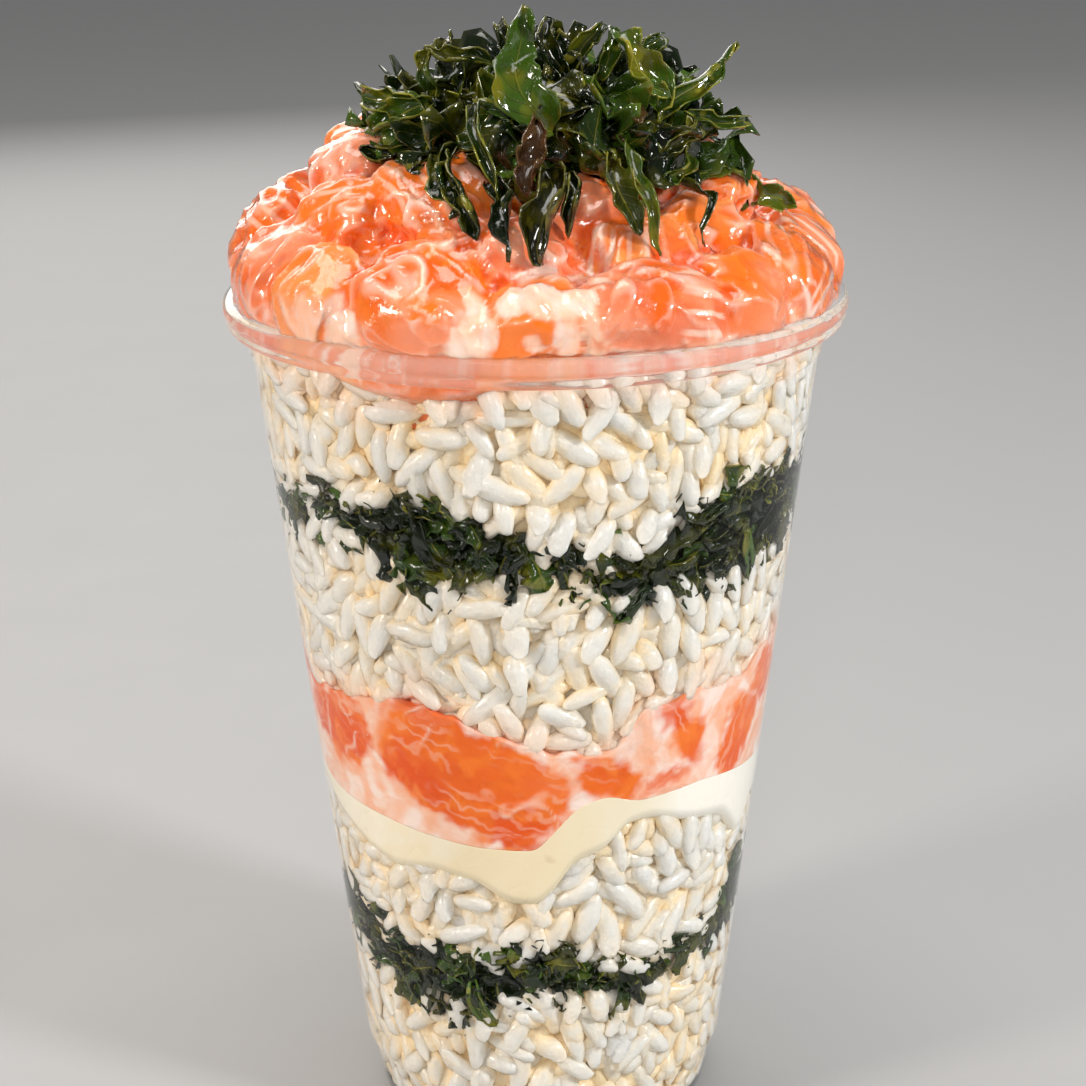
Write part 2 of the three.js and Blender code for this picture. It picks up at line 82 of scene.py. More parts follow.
# The seams between layers on the wall: bearing in degrees and height in millimetres.
SEAMS = {
    "lower_greens_bottom": (
        (-90, 33), (-72, 32.4), (-58, 29), (-48, 26.8), (-32, 27.5), (-25, 25), (-7, 30.5), (16, 29.7),
        (25, 27.5), (36, 32.6), (53, 32.3), (69, 34.3), (90, 34), (120, 31), (150, 28), (180, 30), (225, 32),
    ),
    "lower_greens_top": (
        (-90, 43), (-72, 42.6), (-56, 40.3), (-44, 38.4), (-30, 37.6), (-6, 39.3), (5, 41.2), (16, 37.6),
        (28, 34), (35, 36.7), (58, 36.8), (65, 45), (90, 46), (120, 42), (150, 38), (180, 39), (225, 40),
    ),
    "cream_bottom": (
        (-90, 60), (-76, 59.5), (-64, 56), (-51, 52.9), (-41, 51.5), (-28, 53.1), (-16, 51.8), (-9, 48.7),
        (-1, 48.3), (4, 51.6), (8, 56.1), (17, 58.2), (21, 61.9), (28, 62.4), (41, 59.6), (54, 57.8),
        (66, 50.5), (74, 56), (90, 54), (120, 56), (150, 54), (180, 57), (205, 52), (225, 55), (250, 58),
    ),
    "cream_top": (
        (-90, 65), (-64, 61.4), (-44, 60.9), (-16, 59.2), (-1, 59.1), (9, 66.9), (16, 68.2), (24, 66.4),
        (43, 66.8), (61, 64.9), (90, 63), (120, 64), (150, 62), (180, 65), (225, 63),
    ),
    "salmon_top": (
        (-90, 88), (-84, 87), (-76, 79), (-53, 80.5), (-29, 83.3), (-10, 79.3), (4, 76.2), (18, 76.5),
        (24, 82.5), (39, 83.4), (54, 81.9), (63, 84.9), (78, 86.5), (90, 88), (120, 84), (150, 80),
        (180, 82), (225, 84),
    ),
    "upper_greens_bottom": (
        (-90, 108), (-64, 106.8), (-46, 110.6), (-39, 107.7), (-31, 104.8), (-23, 101.7), (-15, 104.9),
        (-1, 105.7), (10, 102), (21, 99.9), (28, 102), (41, 100.7), (63, 103), (90, 106), (120, 105),
        (150, 103), (180, 105), (225, 104),
    ),
    "upper_greens_top": (
        (-90, 113), (-61, 112.9), (-49, 115.7), (-21, 116.9), (-14, 115.8), (0, 111.1), (12, 108.4),
        (22, 109.1), (31, 112.6), (39, 115), (47, 118.1), (65, 116.3), (90, 113), (120, 112), (150, 113),
        (180, 114), (225, 112),
    ),
    "heap_bottom": (
        (-90, 135.5), (-60, 135.5), (-45, 134.6), (-34, 132.8), (-22, 132.2), (-12, 133.4), (-4, 135.6),
        (20, 136.2), (55, 136.2), (90, 136), (135, 135), (180, 135.5), (225, 135),
    ),
}


def seam(name):
    """A closed curve of heights round the cup, as a function of the bearing."""
    degrees, heights = np.array(sorted((bearing % 360, height) for bearing, height in SEAMS[name])).T
    turn = np.arange(360)
    reach = np.arange(-6, 7)  # degrees either side that soften the corners between the points
    weights = np.exp(-((reach / 2.2) ** 2))
    around = np.interp((turn[:, None] + reach) % 360, degrees, heights, period=360)
    soft = around @ weights / weights.sum()
    return lambda bearing: np.interp(np.degrees(bearing) % 360, turn, soft, period=360) * MM


def level(height):
    return lambda bearing: height + 0 * bearing


def outer_radius(z):
    heights, radii = np.array(WALL_LINE).T * MM
    return np.interp(z, heights, radii)


def inner_radius(z):
    return outer_radius(z) - WALL


def wall_point(bearing, z, inset=0.0):
    radius = inner_radius(z) - inset
    return Vector((radius * math.sin(bearing), -radius * math.cos(bearing), z))


def wall_stand(bearing, z, inset):
    """Stands a piece at the wall: x runs round the cup, y points inwards and z up the wall."""
    (foot, narrow), (shoulder, wide) = WALL_LINE[2:4]
    lean = math.atan2(wide - narrow, shoulder - foot)
    turn = Matrix.Rotation(bearing, 4, "Z") @ Matrix.Rotation(-lean, 4, "X")
    return Matrix.Translation(wall_point(bearing, z, inset)) @ turn


# ---- Mesh tools ----


def place(mesh, material, nodes):
    """Puts a finished mesh in the scene as a piece of its name that stands for its solids."""
    piece = bpy.data.objects.new(mesh.name, mesh)
    bpy.context.scene.collection.objects.link(piece)
    mesh.materials.clear()
    mesh.materials.append(material)
    mesh.shade_smooth()
    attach(piece, "root")
    if nodes:
        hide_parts(*nodes)
    return piece


def sealed(bm):
    """Welds a form's doubled points and turns its faces outwards."""
    bmesh.ops.remove_doubles(bm, verts=bm.verts, dist=WELD)
    bmesh.ops.recalc_face_normals(bm, faces=bm.faces)
    return bm


def mesh_from(bm, name):
    mesh = bpy.data.meshes.new(name)
    bm.to_mesh(mesh)
    bm.free()
    return mesh


def points_of(mesh):
    flat = np.empty(len(mesh.vertices) * 3, np.float32)
    mesh.vertices.foreach_get("co", flat)
    return flat.reshape(-1, 3).astype(float)


def normals_of(mesh):
    flat = np.empty(len(mesh.vertices) * 3, np.float32)
    mesh.vertex_normals.foreach_get("vector", flat)
    return flat.reshape(-1, 3).astype(float)


def faces_of(mesh):
    return [tuple(face.vertices) for face in mesh.polygons]


def bearings_of(points):
    return np.arctan2(points[:, 0], -points[:, 1])


def radii_of(points):
    return np.hypot(points[:, 0], points[:, 1])


def move_points(mesh, points):
    mesh.vertices.foreach_set("co", np.asarray(points, np.float32).ravel())
    mesh.update()


def paint(mesh, name, values):
    """Keeps one number, or one vector, for each vertex as an attribute that materials read."""
    values = np.asarray(values, np.float32)
    kind, key = ("FLOAT", "value") if values.ndim == 1 else ("FLOAT_VECTOR", "vector")
    mesh.attributes.new(name, kind, "POINT").data.foreach_set(key, values.ravel())


def joined(name, shapes, paints):
    """One mesh from many (points, faces) shapes, with the attributes that each shape's points carry."""
    faces, start = [], 0
    for points, corners in shapes:
        faces.extend([tuple(start + i for i in face) for face in corners])
        start += len(points)
    mesh = bpy.data.meshes.new(name)
    mesh.from_pydata(np.concatenate([points for points, _ in shapes]), [], faces)
    for key, values in paints.items():
        paint(mesh, key, np.concatenate(values))
    return mesh


def shape_of(bm):
    bm.verts.ensure_lookup_table()
    points = np.array([vertex.co for vertex in bm.verts])
    faces = [tuple(vertex.index for vertex in face.verts) for face in bm.faces]
    bm.free()
    return points, faces


def lumps(points, size, seed):
    """Smooth noise from -1 to 1 at each point, with features of a size."""
    shift = Vector((seed * 7.3, seed * 3.1, seed * 5.7))
    return np.array([noise.noise(Vector(point) / size + shift) for point in points])


def evened(mesh, values, rounds):
    """Values averaged over each vertex's neighbours, round after round."""
    ends = np.empty(len(mesh.edges) * 2, np.int32)
    mesh.edges.foreach_get("vertices", ends)
    first, second = ends.reshape(-1, 2).T
    count = len(mesh.vertices)
    degree = np.bincount(first, minlength=count) + np.bincount(second, minlength=count)
    values = np.array(values, float).reshape(count, -1)
    for _ in range(rounds):
        total = np.stack(
            [
                np.bincount(first, column[second], count) + np.bincount(second, column[first], count)
                for column in values.T
            ],
            axis=1,
        )
        values = (values + total / np.maximum(degree, 1)[:, None]) / 2
    return values.squeeze()


def smoothstep(low, high, values):
    share = np.clip((values - low) / (high - low), 0, 1)
    return share * share * (3 - 2 * share)


def tree_of(points):
    tree = KDTree(len(points))
    for index, point in enumerate(points):
        tree.insert(point, index)
    tree.balance()
    return tree


def nearest(points, samples):
    """For each point, the index of the nearest sample."""
    tree = tree_of(samples)
    return np.array([tree.find(point)[1] for point in points])


def gaps(points, owners, reach, neighbours=14):
    """How near each point comes to a point of another owner: 1 where they touch and 0 beyond a reach."""
    tree = tree_of(points)
    near = np.zeros(len(points))
    for index, point in enumerate(points):
        found = tree.find_n(point, neighbours)
        others = (away for _, other, away in found if owners[other] != owners[index])
        near[index] = max(0.0, 1 - next(others, reach) / reach)
    return near


def pressed(points):
    """Points that would pass through the wall lie flat against it instead."""
    points = np.array(points)
    share = (inner_radius(points[:, 2]) + CONTACT) / np.maximum(radii_of(points), TINY)
    points[:, :2] *= np.minimum(1, share)[:, None]
    return points


def layer_solid(name, low, high, around, inset=0.0, side_rows=12, low_edge=0.6 * MM, high_edge=0.6 * MM):
    """A layer that fills the cup between two seams, out to an inset from the wall, with rounded edges. Its
    rows of faces crowd towards the seams."""
    caps = 2
    rows = side_rows + 2 * caps
    bm = bmesh.new()
    bmesh.ops.create_grid(bm, x_segments=around, y_segments=rows, size=1)
    for vertex in bm.verts:
        bearing = (vertex.co.x + 1) / 2 * TURN
        row = round((vertex.co.y + 1) / 2 * rows)
        bottom, top = float(low(bearing)), float(high(bearing))
        share = min(max((row - caps) / side_rows, 0), 1)
        z = bottom + (top - bottom) * (share - math.sin(TURN * share) / TURN * 0.5)
        depth = inset - SAUCE_CONTACT
        for corner, away in ((low_edge, z - bottom), (high_edge, top - z)):
            short = max(0.0, corner - away)
            depth += corner - math.sqrt(max(0.0, corner**2 - short**2))
        out = 1.0 if caps <= row <= rows - caps else min(row, rows - row) / caps
        middle = float(low(0) + low(math.pi)) / 2 if row < caps else float(high(0) + high(math.pi)) / 2
        edge = wall_point(bearing, z, depth)
        vertex.co = (edge.x * out, edge.y * out, middle + (z - middle) * out)
    return mesh_from(sealed(bm), name)


def remeshed(mesh, voxel, adaptivity=0.0):
    """The outer skin of a mesh of many closed bodies, as one body. Adaptivity thins its flat places."""
    body = bpy.data.objects.new(mesh.name, mesh)
    bpy.context.scene.collection.objects.link(body)
    skin = body.modifiers.new("skin", "REMESH")
    skin.mode = "VOXEL"
    skin.voxel_size = voxel
    skin.adaptivity = adaptivity
    evaluated = body.evaluated_get(bpy.context.evaluated_depsgraph_get())
    made = bpy.data.meshes.new_from_object(evaluated)
    bpy.data.objects.remove(body)
    return made


def veil(points, size, seed):
    """Folded films: 1 on each winding fold, fading slowly on one side of it and at once on the other."""
    swirl = np.stack([lumps(points, 0.8 * size, seed + step) for step in (1, 2, 3)], axis=1)
    value = lumps(points + 0.5 * size * swirl, size, seed)
    width = 0.05 + 0.07 * (1 + lumps(points, 0.7 * size, seed + 5))
    line = np.exp(-((value / width) ** 2))
    film = np.where(value > 0, 0.55 * smoothstep(0.38, 0, value), 0)
    return np.maximum(line, film) * smoothstep(-0.2, 0.25, lumps(points, 1.4 * size, seed + 4))


# ---- Material tools ----

# The Mix node's sockets for colours: the factor, the two colours and the result.
MIX_FACTOR, MIX_LOW, MIX_HIGH, MIX_RESULT = 0, 6, 7, 2


def is_socket(value):
    return isinstance(value, bpy.types.NodeSocket)


class Recipe:
    """A node tree written as calls: a value that is a socket is linked, and any other is set."""

    def __init__(self, tree):
        self.tree = tree

    def feed(self, node, inputs):
        for key, value in inputs.items():
            if is_socket(value):
                self.tree.links.new(value, node.inputs[key])
            else:
                node.inputs[key].default_value = value

    def node(self, kind, inputs=None, **settings):
        node = self.tree.nodes.new(kind)
        for key, value in settings.items():
            setattr(node, key, value)
        self.feed(node, inputs or {})
        return node

    def math(self, operation, *values, clamp=False):
        inputs = dict(enumerate(values))
        return self.node("ShaderNodeMath", inputs, operation=operation, use_clamp=clamp).outputs[0]

    def times(self, first, second):
        return self.math("MULTIPLY", first, second)

    def plus(self, first, second):
        return self.math("ADD", first, second)

    def minus(self, first, second):
        return self.math("SUBTRACT", first, second)

    def most(self, first, *others):
        for other in others:
            first = self.math("MAXIMUM", first, other)
        return first

    def mix(self, share, low, high):
        low, high = (value if is_socket(value) else (*value, 1) for value in (low, high))
        inputs = {MIX_FACTOR: share, MIX_LOW: low, MIX_HIGH: high}
        return self.node("ShaderNodeMix", inputs, data_type="RGBA").outputs[MIX_RESULT]

    def ramp(self, value, low, high, start=0.0, end=1.0):
        """Goes smoothly from start to end while a value goes from low to high."""
        inputs = {"Value": value, "From Min": low, "From Max": high, "To Min": start, "To Max": end}
        return self.node("ShaderNodeMapRange", inputs, interpolation_type="SMOOTHSTEP").outputs[0]

    def attribute(self, name, output="Fac"):
        return self.node("ShaderNodeAttribute", attribute_name=name).outputs[output]

    def noise(self, vector, scale, detail=1.0, distortion=0.0):
        """Noise from 0 to 1. The scale counts its features in a metre."""
        inputs = {"Vector": vector, "Scale": scale, "Detail": detail, "Distortion": distortion}
        return self.node("ShaderNodeTexNoise", inputs).outputs["Fac"]

    def place(self):
        return self.node("ShaderNodeTexCoord").outputs["Object"]

    def group(self, tree, **inputs):
        named = {key.capitalize(): value for key, value in inputs.items()}
        return self.node("ShaderNodeGroup", named, node_tree=tree).outputs


def shader_group(name, inputs, outputs):
    tree = bpy.data.node_groups.new(name, "ShaderNodeTree")
    for key, kind, default in inputs:
        socket = tree.interface.new_socket(key, in_out="INPUT", socket_type=kind)
        if default is not None:
            socket.default_value = default
    for key in outputs:
        tree.interface.new_socket(key, in_out="OUTPUT", socket_type="NodeSocketFloat")
    return tree, tree.nodes.new("NodeGroupInput"), tree.nodes.new("NodeGroupOutput")


def wet_relief():
    """Fine uneven relief with a film of moisture: a height for bump and a roughness that varies with it."""
    if "Wet relief" in bpy.data.node_groups:
        return bpy.data.node_groups["Wet relief"]
    inputs = (
        ("Vector", "NodeSocketVector", None),
        ("Scale", "NodeSocketFloat", 400.0),
        ("Smooth", "NodeSocketFloat", 0.15),
        ("Rough", "NodeSocketFloat", 0.4),
    )
    tree, entry, out = shader_group("Wet relief", inputs, ("Height", "Roughness"))
    recipe = Recipe(tree)
    vector, scale, smooth, rough = (entry.outputs[key] for key, _, _ in inputs)
    coarse = recipe.noise(vector, scale)
    fine = recipe.noise(vector, recipe.times(scale, 3.7))
    height = recipe.plus(recipe.times(coarse, 0.75), recipe.times(fine, 0.25))
    recipe.feed(out, {"Height": height, "Roughness": recipe.ramp(coarse, 0.3, 0.7, smooth, rough)})
    return tree


def new_material(name):
    material = bpy.data.materials.new(name)
    material.use_nodes = True
    return material, Recipe(material.node_tree), material.node_tree.nodes["Principled BSDF"]


def finish_surface(recipe, shader, colour, relief, strength, distance, constants):
    """Feeds the colour, roughness and bump into the shader and sets its constants on its own sockets."""
    height, roughness = relief
    bump = recipe.node("ShaderNodeBump", {"Strength": strength, "Distance": distance, "Height": height})
    recipe.feed(shader, {"Base Color": colour, "Roughness": roughness, "Normal": bump.outputs["Normal"]})
    recipe.feed(shader, constants)
    shader.subsurface_method = "BURLEY"


def plastic_material(name, look, milky, ior):
    """Clear plastic. A milky one lets less light straight through, as the thick rolled rim does. It throws no
    shadow, and wet surfaces don't mirror it."""
    material, recipe, shader = new_material(name)
    smear = recipe.noise(recipe.place(), 90.0)
    recipe.feed(shader, {
        "Base Color": recipe.mix(smear, look.tint, [0.97 * channel for channel in look.tint]),
        "Roughness": recipe.ramp(smear, 0.35, 0.75, 0.0, 0.025),
        "IOR": ior,
        "Transmission Weight": 1.0 - milky,
        "Specular Tint": (*[look.mirror] * 3, 1),
    })
    light = recipe.node("ShaderNodeLightPath").outputs
    passes = recipe.most(light["Is Shadow Ray"], light["Is Diffuse Ray"], light["Is Glossy Ray"])
    clear = recipe.node("ShaderNodeBsdfTransparent", {"Color": (*look.passed, 1)})
    both = recipe.node("ShaderNodeMixShader", {0: passes, 1: shader.outputs[0], 2: clear.outputs[0]})
    recipe.feed(recipe.tree.nodes["Material Output"], {"Surface": both.outputs[0]})
    return material


def rice_material(look):
    """Cooked rice: painted warm shade in its depths, creases and clumps, glassy grains, stained by the
    salmon.
    """
    material, recipe, shader = new_material("cooked_rice")
    where = recipe.place()
    mottle = recipe.noise(where, 420.0)
    # Painted shade: warmer with depth behind the wall, in creases and over broad patches, with a random
    # mottle.
    shade = recipe.plus(recipe.times(recipe.attribute("depth"), 0.8), recipe.times(mottle, 0.45))
    shade = recipe.plus(shade, recipe.ramp(recipe.noise(where, 70.0), 0.35, 0.65, -0.12, 0.2))
    shade = recipe.plus(shade, recipe.times(recipe.attribute("crease_shade"), 0.3))
    colour = recipe.mix(recipe.ramp(shade, 0.2, 0.95), look.light, look.shaded_grain)
    colour = recipe.mix(recipe.times(recipe.attribute("tone"), 0.6), colour, look.clear)
    colour = recipe.mix(recipe.times(recipe.attribute("stain"), 0.55), colour, look.stain)
    relief = recipe.group(wet_relief(), vector=where, scale=560.0, smooth=0.2, rough=0.45)
    constants = {
        "Subsurface Weight": 0.5,
        "Subsurface Radius": (1.0, 0.93, 0.8),
        "Subsurface Scale": 2.2 * MM,
        "Coat Weight": 0.4,
        "Coat Roughness": 0.1,
        "IOR": 1.38,
    }
    finish_surface(recipe, shader, colour, relief, 0.8, 0.5 * MM, constants)
    return material


def cream_material(look):
    """Cream sauce with paler swirls, painted light that pales it towards +X, and a few pits of painted shade.
    """
    material, recipe, shader = new_material("cream_sauce")
    where = recipe.place()
    swirl = recipe.ramp(recipe.noise(where, 45.0, 3.0, 1.2), 0.3, 0.75, 0.0, 0.7)
    # Paler swirls, and painted light that makes the band paler towards +X.
    pale = recipe.math("ADD", swirl, recipe.attribute("pale"), clamp=True)
    colour = recipe.mix(pale, look.cream, look.cream_pale)
    # Painted shade: a few darker pits, though the surface has no holes.
    pits = recipe.ramp(recipe.noise(where, 260.0), 0.7, 0.8)
    colour = recipe.mix(recipe.times(pits, 0.35), colour, look.pit)
    relief = recipe.group(wet_relief(), vector=where, scale=160.0, smooth=0.16, rough=0.3)
    constants = {"Coat Weight": 0.15, "Coat Roughness": 0.1}
    finish_surface(recipe, shader, colour, relief, 0.15, 0.3 * MM, constants)
    return material


def salmon_material(name, look, glow, gloss):
    """Salmon in cream. Attributes say where flesh and cream lie, how the flesh's fat lines run and where it
    is sunk, where painted shade deepens it. Glow is how far light spreads inside it, and gloss how wet it is."""
    material, recipe, shader = new_material(name)
    where = recipe.place()
    along = recipe.attribute("grain", "Vector")
    raised = recipe.attribute("raised")
    folded = recipe.attribute("fold")
    cloud = recipe.noise(where, 190.0, 2.5, 0.8)
    broad = recipe.noise(where, 75.0)
    hue = recipe.plus(recipe.attribute("tone"), recipe.times(recipe.minus(broad, 0.5), 1.2))
    flesh = recipe.mix(recipe.ramp(hue, 0.1, 0.5), look.coral, look.orange)
    flesh = recipe.mix(recipe.ramp(hue, 0.6, 1.0, 0.0, 0.7), flesh, look.apricot)
    # Painted shade: the flesh deepens where it is sunk, and in broad random patches.
    sunk = recipe.plus(recipe.ramp(broad, 0.35, 0.65, 0.0, 0.7), recipe.ramp(raised, 0.5, 0.0, 0.0, 0.8))
    flesh = recipe.mix(recipe.times(sunk, recipe.ramp(cloud, 0.3, 0.6)), flesh, look.deep_and_shaded_flesh)
    wave = recipe.node(
        "ShaderNodeTexWave",
        {"Vector": along, "Scale": look.fat_scale, "Distortion": 2.6, "Detail": 2.0, "Detail Scale": 0.8},
        bands_direction="Y",
    ).outputs["Fac"]
    patchy = recipe.times(recipe.ramp(recipe.noise(along, 100.0), 0.42, 0.6), recipe.attribute("lined"))
    lines = recipe.times(recipe.ramp(wave, 0.55, 1.0), patchy)
    flesh = recipe.mix(recipe.times(lines, 0.6), flesh, look.fat)
    frayed = recipe.plus(recipe.attribute("cream"), recipe.times(recipe.minus(cloud, 0.5), 0.9))
    film = recipe.times(folded, recipe.ramp(cloud, 0.25, 0.5, 0.45, 1.0))
    crest = recipe.times(recipe.ramp(raised, 0.55, 1.0), recipe.ramp(broad, 0.4, 0.62))
    milky = recipe.most(
        recipe.ramp(frayed, 0.25, 1.0), recipe.ramp(film, 0.1, 0.9, 0.0, 0.75), recipe.times(crest, 0.5)
    )
    pale = recipe.mix(recipe.ramp(cloud, 0.4, 0.7), look.blush, look.milk)
    colour = recipe.mix(milky, flesh, pale)
    height, roughness = recipe.group(wet_relief(), vector=where, scale=430.0, smooth=0.06, rough=0.28)
    relief = recipe.plus(height, recipe.times(folded, 0.6)), roughness
    constants = {
        "Subsurface Weight": glow,
        "Subsurface Radius": (1.0, 0.32, 0.12),
        "Subsurface Scale": 1.5 * MM,
        "Coat Weight": gloss,
        "Coat Roughness": 0.04,
        "IOR": 1.4,
    }
    finish_surface(recipe, shader, colour, relief, 0.7, 0.5 * MM, constants)
    return material


def leaf_material(name, look):
    """A crisp oiled leaf: a dark blade with painted light in olive places, lighter ribs, painted glints as
    light spots, and a yellow-green edge.
    """
    material, recipe, shader = new_material(name)
    where = recipe.place()
    tone = recipe.attribute("tone")
    cloud = recipe.noise(where, 240.0, 1.5)
    blade = recipe.mix(recipe.ramp(tone, 0.0, 1.0), look.dark, look.bright)
    blade = recipe.mix(recipe.ramp(cloud, 0.4, 0.75, 0.0, 0.5), blade, look.dark)
    # Painted light: olive places where light would shine through the blade, more on brighter leaves.
    olive = recipe.ramp(recipe.noise(where, 150.0), 0.5, 0.66)
    olive = recipe.times(olive, recipe.ramp(tone, 0.0, 0.6, 0.25, 1.0))
    blade = recipe.mix(olive, blade, look.olive)
    side = recipe.math("ABSOLUTE", recipe.attribute("leaf_across"))
    midrib = recipe.ramp(side, 0.02, 0.07, 0.6, 0.0)
    slanted = recipe.minus(recipe.times(recipe.attribute("leaf_along"), 9.0), recipe.times(side, 2.2))
    veins = recipe.times(recipe.ramp(recipe.math("PINGPONG", slanted, 0.5), 0.0, 0.07, 1.0, 0.0), 0.5)
    ribs = recipe.most(midrib, veins)
    rim = recipe.ramp(recipe.plus(side, recipe.times(cloud, 0.7)), 1.25, 1.5, 0.0, 0.9)
    # Painted glints: light spots where oil would catch the lamps.
    spots = recipe.ramp(recipe.noise(where, 330.0), 0.62, 0.72, 0.0, 0.7)
    lit = recipe.ramp(recipe.attribute("edge"), 0.0, 1.0, 0.03, 0.8)
    colour = recipe.mix(recipe.times(recipe.most(ribs, rim, spots), lit), blade, look.rib_and_glint)
    colour = recipe.mix(recipe.times(recipe.attribute("toast"), 0.9), colour, look.toast)
    height, roughness = recipe.group(wet_relief(), vector=where, scale=420.0, smooth=0.05, rough=0.22)
    relief = recipe.plus(height, recipe.times(ribs, 0.6)), roughness
    constants = {"Coat Weight": 1.0, "Coat Roughness": 0.03, "IOR": 1.25}
    finish_surface(recipe, shader, colour, relief, 0.9, 0.6 * MM, constants)
    return material


def floor_material(look):
    material, recipe, shader = new_material("pale_floor")
    speck = recipe.noise(recipe.place(), 30.0, 4.0)
    colour = recipe.mix(speck, look.floor, [0.98 * channel for channel in look.floor])
    relief = speck, recipe.ramp(speck, 0.0, 1.0, 0.55, 0.65)
    finish_surface(recipe, shader, colour, relief, 0.02, 0.2 * MM, {"Specular IOR Level": 0.3})
    return material


# ---- The cup ----


def filleted(points, radius, steps):
    """A polyline with each inner corner rounded."""
    line = [Vector(points[0])]
    for before, corner, after in zip(points, points[1:], points[2:]):
        before, corner, after = Vector(before), Vector(corner), Vector(after)
        cut = min(radius, 0.4 * (before - corner).length, 0.4 * (after - corner).length)
        start = corner + (before - corner).normalized() * cut
        end = corner + (after - corner).normalized() * cut
        for i in range(steps + 1):
            share = i / steps
            line.append(start.lerp(corner, share).lerp(corner.lerp(end, share), share))
    return [*line, Vector(points[-1])]


def cup_profile():
    """The cup's section from the axis under its foot, up the outside, over the rim and down the inside."""
    rim = RIM_RADIUS / MM
    top = CUP_HEIGHT / MM
    lip = RIM_BOTTOM / MM
    neck = NECK_RADIUS / MM
    wall = WALL / MM
    outside = [(0, 1.3), (24.4, 1.3), (25.4, 0), (28.6, 0)]
    outside += [(radius, height) for height, radius in WALL_LINE[1:-1]] + [(neck, lip + 2.6)]
    rolled = [
        (rim - 1.2, lip + 3), (rim - 1.2, lip + 0.6), (rim - 2.2, lip), (rim - 0.8, lip),
        (rim - 0.35, lip + 0.8), (rim - 0.65, lip + 1.6), (rim, lip + 2.4), (rim - 0.2, lip + 3.6),
        (rim - 1.1, top), (neck + 0.6, top), (neck - wall, top - 0.8),
    ]
    inside = [(radius - wall, height) for height, radius in reversed(WALL_LINE[1:-1])]
    inside += [(float(inner_radius(FLOOR_TOP)) / MM, FLOOR_TOP / MM), (0, FLOOR_TOP / MM)]
    return [(radius * MM, height * MM) for radius, height in outside + rolled + inside]


def build_cup(settings):
    bm = bmesh.new()
    line = [bm.verts.new((point.x, 0, point.y)) for point in filleted(cup_profile(), 0.45 * MM, 3)]
    edges = [bm.edges.new(pair) for pair in zip(line, line[1:])]
    bmesh.ops.spin(
        bm, geom=line + edges, cent=(0, 0, 0), axis=(0, 0, 1), angle=TURN,
        steps=settings.facets, use_merge=True,
    )
    wall_finish = plastic_material("clear_plastic", settings, 0.0, settings.wall_ior)
    rim_finish = plastic_material("rim_plastic", settings, settings.milky, settings.rim_ior)
    cup = place(mesh_from(sealed(bm), "cup_shell"), wall_finish, ["cup"])
    cup.data.materials.append(rim_finish)
    for face in cup.data.polygons:
        face.material_index = int(face.center.z > RIM_BOTTOM)


# ---- Rice ----

TRIES = 12  # turns of a grain that are tried
VARIANTS = 12  # differently shaped grains
CLUMP_SIZE = 9 * MM  # of the clumps that grains form at the wall


def grain_shape(rng):
    """One cooked grain, a unit long each way from its middle: plump, a little bent, one end blunter."""
    bm = bmesh.new()
    bmesh.ops.create_uvsphere(bm, u_segments=8, v_segments=8, radius=1)
    bend, taper, seed = rng.uniform(-0.45, 0.45), rng.uniform(-0.22, 0.22), rng.uniform(0, 50)
    for vertex in bm.verts:
        x, y, z = vertex.co.z, vertex.co.x, vertex.co.y
        blunt = math.copysign(abs(x) ** 0.88, x)
        girth = max(math.hypot(y, z), 1e-3) ** -0.14
        girth *= (1 + taper * x) * (1 + 0.3 * noise.noise(Vector((2.4 * x, 1.6 * y, seed + 1.6 * z))))
        vertex.co = (blunt, y * girth, z * girth + bend * (x * x - 0.4))
    bmesh.ops.recalc_face_normals(bm, faces=bm.faces)
    return shape_of(bm)


def scatter(rng, low, high, spacing, misses=500):
    """Spots on the wall between two seams, spread at random but at least a spacing apart."""
    bearings = np.linspace(0, TURN, 90)
    bottom, top = float(low(bearings).min()), float(high(bearings).max())
    spots, missed = np.empty((0, 2)), 0
    while missed < misses:
        bearing, z = rng.uniform(0, TURN), rng.uniform(bottom, top)
        missed += 1
        if not low(bearing) <= z <= high(bearing):
            continue
        round_off = np.abs(spots[:, 0] - bearing)
        around = np.minimum(round_off, TURN - round_off) * inner_radius(z)
        if len(spots) and np.hypot(around, spots[:, 1] - z).min() < spacing:
            continue
        spots = np.vstack((spots, (bearing, z)))
        missed = 0
    return spots


